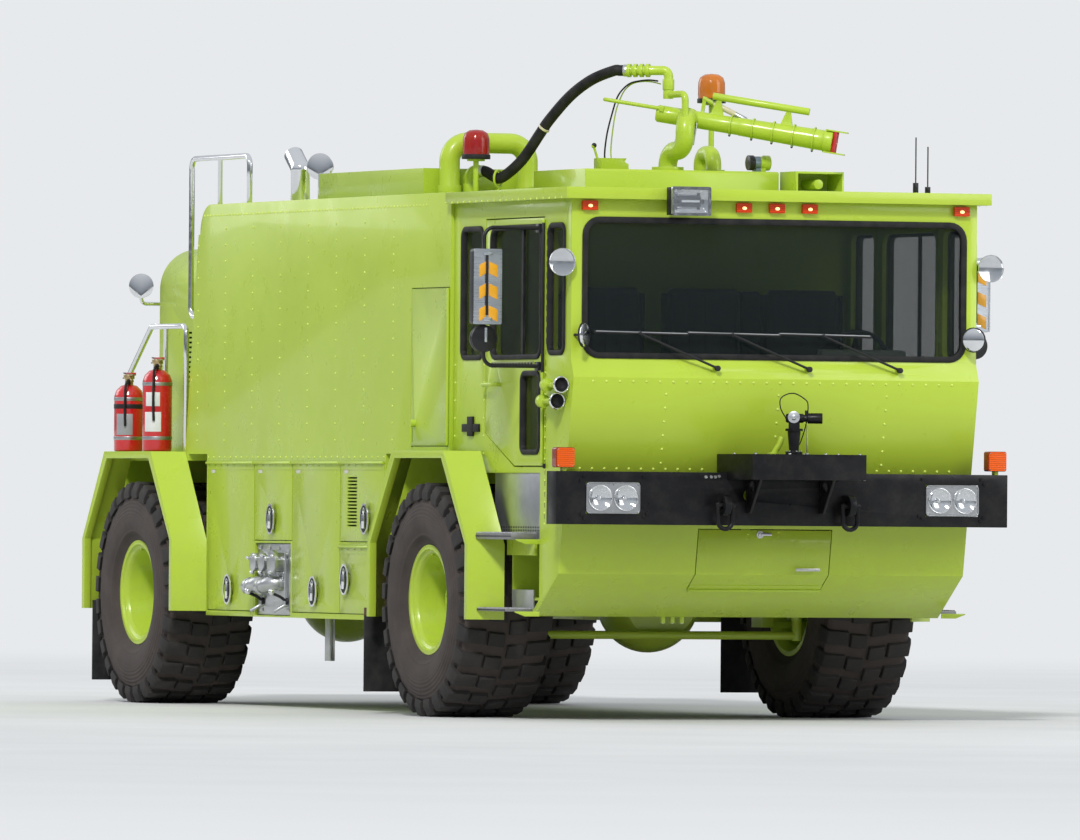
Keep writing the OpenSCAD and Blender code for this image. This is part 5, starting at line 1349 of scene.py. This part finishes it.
def make_rivets():
    """Rivets of the tank's sides, the nose and the roof's edge, in a lighter lime than the body paint: a painted
    highlight.
    """
    f = bpy.context.scene.truck_fasteners
    tank, shell, roof = [], [], []

    def row(spots, side, x, start, end, pitch=f.rivet_pitch):
        spots += line_of((side * x, *start), (side * x, *end), (side, 0, 0), pitch)

    for side in (-1, 1):
        for k in range(TANK_ROWS):
            y = TANK_ROW + TANK_ROW_PITCH * k
            row(tank, side, TANK_X, (y, TANK_FOOT + 100), (y, TANK_ROW_TOP))
        row(tank, side, TANK_X, (330, TANK_EDGE), (5400, TANK_EDGE), 52)
        row(tank, side, TANK_X, (40, TANK_FOOT), (3900, TANK_FOOT))
        for y in (-90, -540):
            row(shell, side, CAB_X, (y, 2030), (y, 1520))
        row(shell, side, CAB_X, (-1480, 1980), (-1480, 1120), 60)
        row(roof, side, ROOF_X, (-1850, ROOF_EDGE), (300, ROOF_EDGE))
    shell += [on_nose(x, z) for x in NOSE_COLUMNS for z in range(NOSE_FOOT + 34, NOSE_TOP - 30, 78)]
    shell += [on_nose(x, NOSE_TOP) for x in range(-1130, 1131, 82)]
    shell += [on_nose(x, NOSE_FOOT) for x in (*range(-1170, -359, 75), *range(360, 1171, 75))]
    # The rivet heads' lighter lime is a painted highlight, brighter than the body paint.
    paint = plain_paint("Rivet paint with painted highlight", (0.62, 0.76, 0.12), 0.25)
    for name, node, spots in (("tank_rivets", "tank_body", tank), ("cab_rivets", "cab_shell", shell),
                              ("roof_rivets", "roof_deck", roof)):
        heads(name, CHASSIS, paint, landed(node, spots), f.rivet_radius, 5, 0.55, 10)


def make_bolts():
    """Bolts of the bumper, its box and the bumper monitor."""
    f = bpy.context.scene.truck_fasteners
    dark = [((x * side, BUMPER_Y, z), FRONT) for x, z in BUMPER_BOLTS for side in (-1, 1)]
    bright = [((x, BUMPER_Y, z), FRONT) for x, z in BRIGHT_BOLTS]
    box = [((x, y, 1525), Z) for x in (-320, -110, 110, 320) for y in (-2350, -2040)]
    ring = [((a, b, 1532), Z) for a, b in circle(40, (0, -2150), 6, 0.5)]
    steel = brushed("Bolt steel", (0.62, 0.62, 0.60), 0.3)
    for name, slot, coat, spots in (("bumper_bolts", "black", bumper_paint(), dark),
                                    ("bright_bolts", "bright", steel, bright)):
        heads(name, CHASSIS, coat, landed("bumper", spots), f.bolt_radius, 7, 0.85, 6)
    heads("box_bolts", CHASSIS, brushed(), landed("bumper_box", box), f.bolt_radius - 2, 6,
          0.85, 6)
    heads("nozzle_bolts", "nozzle_base", brushed(), landed("nozzle_base", ring, 20), 5, 5,
          0.9, 6)


# Cab, lockers, pump panel and extinguishers

STEP_X, STEP_FRONT, STEP_EDGE_X = 1246, -1410, 1400
# Foot and thickness of each step, and the top of its grip plate
STEP_LEVELS, TREAD_TOPS = ((1030, 36), (620, 16)), (1066, 636)
TOOTH_ROWS, TEETH_IN_ROW, ROW_PITCH, TOOTH_PITCH = 9, 24, 18, 26
KICK_X, KICK_HOLES = 1240, (1082, 1100)
LATCH_X, LOCKER_X = 1290, 1268
LATCH_OVAL, LATCH_DISH = (66, 92), (54, 80)
LABEL_FROM = 1400
# Node, y and z of each locker's latch
LATCHES = (("locker_door_rear_right", 3511.5, 705), ("locker_door_pump_right", 2792.5, 1130),
           ("locker_door_mid_right", 2079, 705), ("locker_door_vent_right", 1242.5, 1137),
           ("locker_door_low_right", 1560.5, 779), ("locker_door_rear_left", 3194, 705),
           ("locker_door_mid_left", 2079, 705), ("locker_door_vent_left", 1322.5, 1135))
PANEL_X = -1258
PANEL_CAPS, PANEL_LEVERS = (2642, 2812, 2952), (2582, 2982)
CAP_X, CAP_Z, LUG_CIRCLE, LUGS = -1345, 874, 62, 3
# Turn of the first lug by 0.4 radians, in steps between lugs
LUG_START = 0.4 * LUGS / (2 * math.pi)
PANEL_PLATES = ((2530, 960), (2730, 958), (2890, 958), (3040, 960), (2560, 590), (3010, 590))
CHAIN_LINKS = 16


def label_plate():
    return brushed("Label plate", (0.62, 0.62, 0.60), 0.35)


def make_cab_trim():
    """Plus-shaped rubber bracket, hinge slots as black marks of painted shade, chin latch and label, door strip
    with vent slots of painted shade.
    """
    rubber, chrome, label = shapes(3)
    x = -CAB_X
    rubber.box((x - 12, -484, 1645), (x, -224, 1690))
    rubber.box((x - 14, -393, 1620), (x, -312, 1733))
    # Thin black marks along the hinge: painted shade of its slots.
    for z in range(1150, 2800, 62):
        rubber.box((x - 1.2, -1487, z), (x, -1483, z + 34))
    rubber.disc((x - 6, -1484, 1462), (0, 0, -1), 9, 26, 14)
    at = Vector((-32, nose_y(1070), 1070))
    chrome.disc(at + Vector((0, 4, 0)), NOSE_FACING, 22, 10, 24)
    chrome.disc(at + Vector((0, -6, -2)), NOSE_FACING, 14, 10, 24)
    chrome.block(at, (0, -22, -8), (64, -14, 8))
    label.box((194, -1742, 862), (343, -1737, 878))
    hand_over((rubber, "cab_bracket", plain_rubber(), "rubber", 1),
              (label, "chin_label", label_plate(), "bright", 0.6))
    hand_over((chrome, "chin_latch", brushed("Latch steel", (0.55, 0.55, 0.56), 0.25), "steel", 1),
              body="chin_door")
    spots = [on_nose(x, z) for x, z in ((-107, 1072), (-107, 1045), (81, 1085), (81, 1058))]
    heads("chin_rivets", "chin_door", body_paint(), landed("chin_door", spots, 120), 6)
    for side, name in SIDES:
        strip, slots = shapes(2)
        inner, face, proud = (side * (CAB_X + out) for out in (1, 5, 6))
        strip.box((min(inner, face), -1300, 2016), (max(inner, face), -650, 2044))
        # Black marks on the vent strip: painted shade of its slots.
        for y in range(-1290, -691, 46):
            slots.box((min(face, proud), y, 2022), (max(face, proud), y + 28, 2038))
        hand_over((strip, "vent_strip_" + name, brushed("Vent strip", (0.38, 0.42, 0.20), 0.45),
                   "steel", 1), (slots, "vent_slot_shade_" + name, plain_rubber(), "rubber"),
                  body=BODY_OF["cab_door_" + name])


def make_steps():
    """Teeth of the grip plates, their lime front ends and the perforated strip over them; the strip's holes and
    the plates' slots are black marks of painted shade.
    """
    teeth, holes, slots, ends = [], [], [], Shape()
    for side in (-1, 1):
        face = (side, 0, 0)
        teeth += [((side * (STEP_X + ROW_PITCH * i), -1390 + TOOTH_PITCH * k + 9 * (i % 2), z), Z)
                  for z in TREAD_TOPS for i in range(TOOTH_ROWS) for k in range(TEETH_IN_ROW)]
        for level, thick in STEP_LEVELS:
            ends.prism([(0, -26), (90, -26), (150, -4), (150, 2), (0, 2)],
                       (side * STEP_X, STEP_FRONT, level), face, Z, (0, 8, 0))
            z = level + thick / 2
            slots += [((side * (1254 + 14 * k), STEP_FRONT, z), FRONT) for k in range(11)]
            slots += [((side * STEP_EDGE_X, -1402 + 16 * k, z), face) for k in range(40)]
        holes += [((side * KICK_X, -1400 + TOOTH_PITCH * k, z), face)
                  for k in range(26) for z in KICK_HOLES]
    # The slots and holes are thin black marks of painted shade, standing in for openings.
    for name, slot, coat, spots, reach, radius, height, crown, sides in (
            ("step_teeth", "steel", grip_metal(), teeth, 8, 8, 6, 0.45, 4),
            ("step_slot_shade", "black", plain_rubber(), slots, 12, 6, 1, 0.9, 4),
            ("step_hole_shade", "black", plain_rubber(), holes, 12, 6, 0.8, 1, 8)):
        heads(name, CHASSIS, coat, landed("cab_steps", spots, reach), radius, height, crown,
              sides)
    hand_over((ends, "step_ends", body_paint(), "paint", 1.5))


def make_lockers():
    """Chrome paddle latches, blank labels and edge rivets of the locker doors."""
    oval, inner = ([(w * a, h * b) for a, b in circle(1, sides=44)]
                   for w, h in (LATCH_OVAL, LATCH_DISH))
    for node, y, z in LATCHES:
        side, body = side_of(node), BODY_OF[node]
        low, high = corners(node)
        latch, label, dish = shapes(3)
        turn = placed((side * LATCH_X, y, z), Y, Z)
        latch.plate(oval, [inner], 7, turn)
        dish.plate(inner, [], 3, turn @ Matrix.Translation((0, 0, side * -1.5)))
        ends = sorted((side * (LATCH_X - 3), side * (LATCH_X + 10)))
        latch.box((ends[0], y - 20, z - 56), (ends[1], y + 20, z + 30))
        latch.disc((side * (LATCH_X - 2), y, z + 48), (side, 0, 0), 18, 9, 24)
        if high.z > LABEL_FROM:
            top = high.z - 70
            ends = sorted((side * (LOCKER_X - 1), side * (LOCKER_X + 3)))
            label.box((ends[0], high.y - 120, top), (ends[1], high.y - 56, top + 34))
            hand_over((label, node + "_label", plain_paint("Blank label", (0.62, 0.60, 0.52)),
                       "trim", 0.5), body=body)
        hand_over((latch, node + "_latch", bright_chrome(), "bright", 2),
                  (dish, node + "_dish", moulded_plastic(), "black"), body=body)
        x, z = side * LOCKER_X, high.z - 24
        rim = line_of((x, low.y + 24, z), (x, high.y - 24, z), (side, 0, 0), 110)
        spots = landed(node, rim, 20)
        if spots:
            heads(node + "_rivets", body, body_paint(), spots, 6)


def make_pump_panel():
    """Levers, blank plates, cap lugs and their chains on the pump panel."""
    bright, black, plates = shapes(3)
    for y in PANEL_CAPS:
        for a, b in circle(LUG_CIRCLE, (y, CAP_Z), LUGS, LUG_START):
            bright.ball((CAP_X, a, b), 12, (1.4, 1, 1))
        for k in range(CHAIN_LINKS):
            t = k / (CHAIN_LINKS - 1)
            bright.ball((PANEL_X - 16, y - 40 + 80 * t, 812 - 60 * math.sin(math.pi * t)), 4.5,
                        (0.7, 1.5 if k % 2 else 0.8, 1))
    for y in PANEL_LEVERS:
        black.tube([(PANEL_X, y, 640), (PANEL_X - 60, y, 640), (PANEL_X - 96, y, 690)], 9, 30)
        bright.ball((PANEL_X - 98, y, 698), 20)
        black.disc((PANEL_X, y, 640), (-1, 0, 0), 22, 12, 24)
    for y, z in PANEL_PLATES:
        plates.box((PANEL_X - 3, y - 26, z - 10), (PANEL_X, y + 26, z + 10))
    hand_over((bright, "panel_chrome", bright_chrome(), "bright", 0.5),
              (black, "panel_levers", moulded_plastic(), "black", 1),
              (plates, "panel_plates", label_plate(), "bright", 0.6))


def wrap(shape, y, start, end, low, high, thick=1.6):
    """Curved plate round an extinguisher, between two angles in degrees and two heights."""
    turns = [math.radians(start + (end - start) * k / 20) for k in range(21)]
    outline = [(90 * math.cos(a), 90 * math.sin(a)) for a in turns]
    outline += [((90 + thick) * math.cos(a), (90 + thick) * math.sin(a)) for a in turns[::-1]]
    shape.prism(outline, (BOTTLE_X, y, BOTTLE_FOOT + low), X, Y, (0, 0, high - low))


def make_extinguishers():
    """Labels, straps, valves, gauges and handles of the two extinguishers."""
    white, band, brass, black, tag = shapes(5)
    for i, (y, size) in enumerate(BOTTLES):
        h = BOTTLE_HEIGHT * size
        if i == 0:
            wrap(white, y, 195, 265, 120, 240)
            wrap(white, y, 200, 260, 275, 360)
        else:
            wrap(tag, y, 195, 265, 100, 230)
            wrap(black, y, 0, 359, 262, 290, 2.4)
        for z in (70, h - 100):
            wrap(band, y, 0, 359, z, z + 22, 2)
        at = Vector((BOTTLE_X, y, BOTTLE_FOOT + h + 10))
        brass.disc(at - Vector((0, 0, 26)), Z, 26, 52, 6)
        brass.tube([at + Vector((0, 0, 6)), at + Vector((0, -46, 6))], 11)
        black.disc(at + Vector((-8, -28, 6)), (-1, -0.4, 0), 17, 12, 24)
        black.block(at, (-9, -10, 26), (9, 92, 34))
        black.box(at + Vector((-9, -14, 52)), at + Vector((9, 84, 58)),
                  Matrix.Rotation(math.radians(8), 4, "X"))
    for shape, name, coat, slot in (
            (white, "labels", plain_paint("Label white", (0.72, 0.72, 0.70), 0.4), "trim"),
            (tag, "labels_grey", plain_paint("Label grey", (0.30, 0.31, 0.32), 0.4), "trim"),
            (band, "straps", brushed("Strap steel", (0.5, 0.5, 0.5), 0.35), "steel"),
            (brass, "valves", brushed("Brass", (0.60, 0.42, 0.16), 0.3), "bright"),
            (black, "handles", moulded_plastic(), "black")):
        hand_over((shape, "bottle_" + name, coat, slot, 0.8))


# Monitors

NOZZLE_AXIS = Vector((-0.42, -0.906, 0))
NOZZLE_CAP_AT = Vector((0, -2150, 1736))
# The barrel's X runs along it: its swivel, trunnion, bearing and dip at rest
SWIVEL_AT, TRUNNION_AT, BARREL_TURN, BARREL_DIP = (0, -250, 0), (120, 0, 3475), -30, 9
SEAMS = (250, 380, 500, 620, 740)
MOUTH_X, BARREL_LENGTH = 864, 830


def make_bumper_monitor():
    """Silver cap, drain elbow, thin rod and flange of the bumper monitor."""
    silver, lime, rod = shapes(3)
    silver.disc(NOZZLE_CAP_AT + NOZZLE_AXIS * 50, NOZZLE_AXIS, 34, 6, 36)
    silver.disc(NOZZLE_CAP_AT + NOZZLE_AXIS * 55, NOZZLE_AXIS, 14, 5, 6)
    rod.tube([(98, -2110, 1526), (98, -2110, 1690)], 4)
    rod.disc((98, -2110, 1525.6), Z, 12, 6, 18)
    lime.tube([(-84, -2050, 1526), (-84, -2050, 1600), (-36, -2062, 1624)], 17, 34, 18)
    lime.disc((-84, -2050, 1525.6), Z, 30, 10, 28)
    hand_over((silver, "nozzle_cap", brushed("Cap steel", (0.62, 0.64, 0.66), 0.3), "steel", 1),
              body="nozzle_head")
    hand_over((rod, "nozzle_rod", brushed(), "steel", 0.5),
              (lime, "drain_elbow", body_paint(), "paint", 1))


def make_roof_monitor():
    """Seams and bolts along the barrel, the damper, the steel rod and the red ring at the mouth."""
    turn = (Matrix.Translation(SWIVEL_AT) @ Matrix.Rotation(math.radians(BARREL_TURN), 4, "Z")
            @ Matrix.Translation(TRUNNION_AT) @ Matrix.Rotation(math.radians(BARREL_DIP), 4, "Y"))
    seams, bolts, cream, red, steel, knob = shapes(6)

    def pipe(shape, points, r, sides=14):
        shape.tube([turn @ Vector(p) for p in points], r, sides=sides)

    for x in SEAMS:
        r = 51 + 18 * min(1, x / BARREL_LENGTH)
        seams.lathe([(r, -5), (r + 3, -4), (r + 3, 4), (r, 5)], turn @ Vector((x, 0, 0)),
                    turn.to_3x3() @ Vector(X), 40)
        bolts.ball(turn @ Vector((x, 0, -r - 3)), 7)
    for y in (-36, 36):
        pipe(red, [(MOUTH_X, y, z) for z in (-62, -30, 30, 62)], 13)
    pipe(red, [(MOUTH_X, -36, 0), (MOUTH_X, 36, 0)], 15)
    pipe(cream, [(130, 28, 108), (262, 23, 67)], 17, 20)
    pipe(steel, [(262, 23, 67), (330, 20, 45)], 15, 16)
    pipe(steel, [(60, -74, -20), (60, -74, -150)], 6)
    knob.ball((-264, 235, 3324), 15)
    hand_over((knob, "console_knob", moulded_plastic(), "black"))
    hand_over((seams, "barrel_seams", body_paint(), "paint", 0.6, 50),
              (bolts, "barrel_bolts", moulded_plastic(), "black", 0.6, 50),
              (cream, "barrel_damper", cream_enamel(), "paint", 0.6, 50),
              (red, "barrel_ring", plain_paint("Nozzle red", (0.50, 0.01, 0.01)), "red", 0.6, 50),
              (steel, "damper_rod", brushed(), "steel", 0.6, 50), body="monitor_barrel")


# Seats

# Middle of each seat, from the front axle
SEATS = ((-620, -780), (0, -780), (620, -780), (-400, -170), (400, -170))
CAB_FLOOR = 1450
# Size of a pad (x, y, z), its middle above the seat's foot and the axis across its seams
CUSHION = ((496, 486, 108), (0, -255, 374), 2)
BACK = ((476, 98, 636), (0, -10, 720), 1)
SEAM_PITCH, SEAM_HALF = 96, 6
# Room left round a pad before it is filled, the size of its mesh and how far it may bulge
PAD_ROOM, PAD_GRAIN, BULGE = 7, 12, 11
# Parts of a seam, its distance from the pad's ends, and the seams as steps from the middle one
SEAM_PARTS, SEAM_END, SEAM_STEPS = 24, 35, range(-2, 3)
PRESSURE, CLOTH_FRAMES = 4, 20
PEDESTAL = [(-165, 0), (165, 0), (165, 14), (130, 40), (130, 250), (160, 316), (-160, 316),
            (-130, 250), (-130, 40), (-165, 14)]


def filled_pad(name, size, side, front):
    """Pad about the origin, blown up by a cloth simulation between its stitched channels."""
    bm = bmesh.new()
    made = bmesh.ops.create_cube(bm, size=1)["verts"]
    inner = (*(s - 2 * PAD_ROOM for s in size), 1)
    bmesh.ops.transform(bm, matrix=Matrix.Diagonal(inner), verts=made)
    bmesh.ops.bevel(bm, geom=bm.edges[:], offset=min(size) * 0.26, segments=4, affect="EDGES")
    bmesh.ops.scale(bm, vec=(MM, MM, MM), verts=bm.verts[:])
    pad = linked(name, mesh_of(bm, name))
    grain = pad.modifiers.new("Grain", "REMESH")
    grain.mode = "VOXEL"
    grain.voxel_size = PAD_GRAIN * MM
    fine = evaluated(pad)
    pad.modifiers.clear()
    pad.data = fine
    start = [v.co.copy() for v in fine.vertices]
    stitched = pad.vertex_groups.new(name="stitched")
    for v in fine.vertices:
        line = abs((v.co.x / MM + SEAM_PITCH / 2) % SEAM_PITCH - SEAM_PITCH / 2)
        if line < SEAM_HALF or v.co[side] * front < 0:
            stitched.add([v.index], 1.0, "REPLACE")
    cloth = pad.modifiers.new("Fill", "CLOTH")
    cloth.settings.use_pressure = True
    cloth.settings.uniform_pressure_force = PRESSURE
    cloth.settings.vertex_group_mass = "stitched"
    cloth.settings.effector_weights.gravity = 0
    cloth.point_cache.frame_start, cloth.point_cache.frame_end = 1, CLOTH_FRAMES
    for now in range(1, CLOTH_FRAMES + 1):
        bpy.context.scene.frame_set(now)
    full = evaluated(pad)
    pad.modifiers.clear()
    pad.data = full
    bpy.context.scene.frame_set(1)
    pad.vertex_groups.clear()
    for v, was in zip(pad.data.vertices, start):
        move = v.co - was
        if move.length > BULGE * MM:
            v.co = was + move.normalized() * BULGE * MM
    data = pad.data
    bpy.data.objects.remove(pad)
    return data


def seams_of(data, size, side, front):
    """Runs of points on the pad's front, one along each stitched line."""
    tree = surface(data)
    along = 3 - side
    ray = Vector((0, 0, 0))
    ray[side] = -front
    runs = []
    for k in SEAM_STEPS:
        run = []
        for j in range(SEAM_PARTS + 1):
            start = Vector((k * SEAM_PITCH, 0, 0))
            start[along] = (j / SEAM_PARTS - 0.5) * (size[along] - 2 * SEAM_END)
            start[side] = front * 200
            hit = tree.ray_cast(start * MM, ray)[0]
            if hit is not None:
                run.append(hit / MM)
        runs.append(run)
    return runs


def make_seats():
    """Cloth seats on pressed pedestals, with slide rails and a lever."""
    frames, rails = shapes(2)
    pads = {}
    for label, (size, middle, side), front in (("cushion", CUSHION, 1), ("back", BACK, -1)):
        data = filled_pad("pad_" + label, size, side, front)
        pads[label] = (data, seams_of(data, size, side, front), middle)
    for i, (x, y) in enumerate(SEATS):
        foot = Vector((x, y, CAB_FLOOR))
        for label, (data, runs, middle) in pads.items():
            at = foot + Vector(middle)
            copy = data.copy()
            copy.transform(Matrix.Translation(TO_FRAME @ at))
            copy.materials.clear()
            copy.materials.append(seat_cloth())
            pad = linked("seat_%s_%d" % (label, i + 1), copy)
            soften(pad, 0, 60)
            piece(pad, CHASSIS, ["cab_seats"])
            for run in runs:
                rails.tube([at + p for p in run], 2.2, sides=6)
        frames.prism(PEDESTAL, foot + Vector((0, -420, 0)), X, Z, (0, 380, 0))
        for side in (-1, 1):
            frames.block(foot, (side * 150 - 12, -440, 300), (side * 150 + 12, -20, 318))
            frames.block(foot, (side * 232 - 6, -60, 380), (side * 232 + 6, 38, 1000))
        lever = ((170, -430, 306), (210, -450, 306), (240, -452, 312))
        frames.tube([foot + Vector(p) for p in lever], 7, 12)
    hand_over((frames, "seat_frames", moulded_plastic(), "black", 2),
              (rails, "seat_piping", plain_rubber(), "trim"), replaces=["cab_seats"])


# Finishes of the CAD nodes

# Stretches of a CAD node in another finish: low and high corner, colour, roughness, metal
BLACK = (0.010, 0.010, 0.011)
LOOP = ((1251, -1480, 1980), (1700, -1000, 2830), BLACK, 0.4, 0)
BRASS = (0.55, 0.42, 0.20)
GRATING = (0.30, 0.30, 0.30)
ZONES = {
    "cab_door_right": (LOOP,),
    "cab_door_left": (LOOP,),
    "cab_steps": (
        ((1150, -1415, 1066.5), (1246, -690, 1420), (0.55, 0.56, 0.58), 0.3, 1.0),
        ((1215, -1415, 637), (1231.5, -690, 760), (0.50, 0.50, 0.50), 0.5, 0.9),
        ((1232, -1415, 1028), (1402, -690, 1067), GRATING, 0.5, 0.8),
        ((1232, -1415, 618), (1402, -690, 637), GRATING, 0.5, 0.8)),
    "mud_flaps": (((900, 900, 575), (1420, 1100, 905), (0.11, 0.055, 0.03), 0.6, 0),),
    "extinguishers": (((1300, 4480, 2034), (1400, 4700, 2100), BRASS, 0.35, 0.9),
                      ((1300, 4990, 1944), (1400, 5180, 2010), BRASS, 0.35, 0.9)),
    "roof_warning": (((440, -480, 3150), (484, -280, 3320), BLACK, 0.4, 0),
                     ((484, -480, 3150), (520, -280, 3320), (0.20, 0.26, 0.33), 0.35, 0.4),
                     ((880, -1810, 3030), (1040, -1690, 3360), BLACK, 0.4, 0)),
}
PLAIN_EDGES = ("tyre_", "cab_glass", "door_glass", "roof_hose")
CAD_BEVEL = 2.5


def make_finishes():
    """Procedural materials and rounded edges on the CAD nodes."""
    slots = {s["node"]: s["material_slot"] for s in frame["record"]["subparts"]}
    own = {"cab_steps": body_paint(),
           "cab_dash": plain_paint("Dash vinyl", (0.15, 0.19, 0.15), 0.55, 0)}
    for node, obj in frame["nodes"].items():
        mat = own.get(node) or finish_of(slots[node])
        if node in ZONES:
            mat = zoned(mat, "Finish of " + node.replace("_", " "), ZONES[node])
        obj.data.materials.clear()
        obj.data.materials.append(mat)
        soften(obj, 0 if node.startswith(PLAIN_EDGES) else CAD_BEVEL, 35, weld=True)


class TruckOperator:
    """Shared by the operators: runs the listed functions in order."""

    bl_options = {"REGISTER", "UNDO"}
    steps = ()

    def execute(self, context):
        for step in self.steps:
            step()
        return {"FINISHED"}


class TRUCK_OT_stage(TruckOperator, bpy.types.Operator):
    """Camera, floor, world and lights"""

    bl_idname = "truck.stage"
    bl_label = "Stage"
    steps = (make_camera, make_world, make_floor, make_lights)


class TRUCK_OT_finishes(TruckOperator, bpy.types.Operator):
    """Materials and soft edges of the CAD pieces"""

    bl_idname = "truck.finishes"
    bl_label = "Finishes"
    steps = (make_finishes,)


class TRUCK_OT_wheels(TruckOperator, bpy.types.Operator):
    """Tyres with their tread, and the rims' nuts and rings"""

    bl_idname = "truck.wheels"
    bl_label = "Wheels"
    steps = (make_tyres, make_rim_details)


class TRUCK_OT_hose(TruckOperator, bpy.types.Operator):
    """Rubber hose on the roof and the thin cables"""

    bl_idname = "truck.hose"
    bl_label = "Hoses and cables"
    steps = (make_hose, make_cables)


class TRUCK_OT_glazing(TruckOperator, bpy.types.Operator):
    """Window seals and mirrors"""

    bl_idname = "truck.glazing"
    bl_label = "Glazing"
    steps = (make_seals, make_mirrors)


class TRUCK_OT_lamps(TruckOperator, bpy.types.Operator):
    """Head lamps, signals, beacons and the fittings on the cab's front"""

    bl_idname = "truck.lamps"
    bl_label = "Lamps"
    steps = (make_headlamps, make_signals, make_beacons, make_front_fittings)


class TRUCK_OT_fasteners(TruckOperator, bpy.types.Operator):
    """Rivets and bolts"""

    bl_idname = "truck.fasteners"
    bl_label = "Rivets and bolts"
    steps = (make_rivets, make_bolts)


class TRUCK_OT_body(TruckOperator, bpy.types.Operator):
    """Fine pieces of the cab, steps, lockers, pump panel and extinguishers"""

    bl_idname = "truck.body"
    bl_label = "Body details"
    steps = (make_cab_trim, make_steps, make_lockers, make_pump_panel, make_extinguishers)


class TRUCK_OT_monitors(TruckOperator, bpy.types.Operator):
    """Fine pieces of the two water monitors"""

    bl_idname = "truck.monitors"
    bl_label = "Monitors"
    steps = (make_bumper_monitor, make_roof_monitor)


class TRUCK_OT_seats(TruckOperator, bpy.types.Operator):
    """Padded seats, their cloth filled by simulation"""

    bl_idname = "truck.seats"
    bl_label = "Seats"
    steps = (make_seats,)


OPERATORS = (TRUCK_OT_stage, TRUCK_OT_hose, TRUCK_OT_finishes, TRUCK_OT_wheels, TRUCK_OT_glazing,
             TRUCK_OT_lamps, TRUCK_OT_fasteners, TRUCK_OT_body, TRUCK_OT_monitors, TRUCK_OT_seats)


class TRUCK_PT_panel(bpy.types.Panel):
    """Sidebar panel of the truck's values and operators"""

    bl_label = "Fire Truck"
    bl_idname = "TRUCK_PT_panel"
    bl_space_type = "VIEW_3D"
    bl_region_type = "UI"
    bl_category = "Fire Truck"

    def draw(self, context):
        layout = self.layout
        for group in ("truck_paint", "truck_wheels", "truck_fasteners", "truck_stage"):
            box = layout.box()
            values = getattr(context.scene, group)
            for name in values.__annotations__:
                box.prop(values, name)
        for operator in OPERATORS:
            layout.operator(operator.bl_idname)


GROUPS = {"truck_paint": TruckPaint, "truck_wheels": TruckWheels,
          "truck_fasteners": TruckFasteners, "truck_stage": TruckStage}


def register():
    for cls in (*GROUPS.values(), *OPERATORS, TRUCK_PT_panel):
        bpy.utils.register_class(cls)
    for name, cls in GROUPS.items():
        setattr(bpy.types.Scene, name, bpy.props.PointerProperty(type=cls))


def unregister():
    for name in GROUPS:
        delattr(bpy.types.Scene, name)
    for cls in (TRUCK_PT_panel, *reversed(OPERATORS), *GROUPS.values()):
        bpy.utils.unregister_class(cls)


def main():
    register()
    bpy.context.scene.view_settings.view_transform = "Standard"
    for operator in OPERATORS:
        group, name = operator.bl_idname.split(".")
        getattr(getattr(bpy.ops, group), name)()


if __name__ == "__main__":
    main()
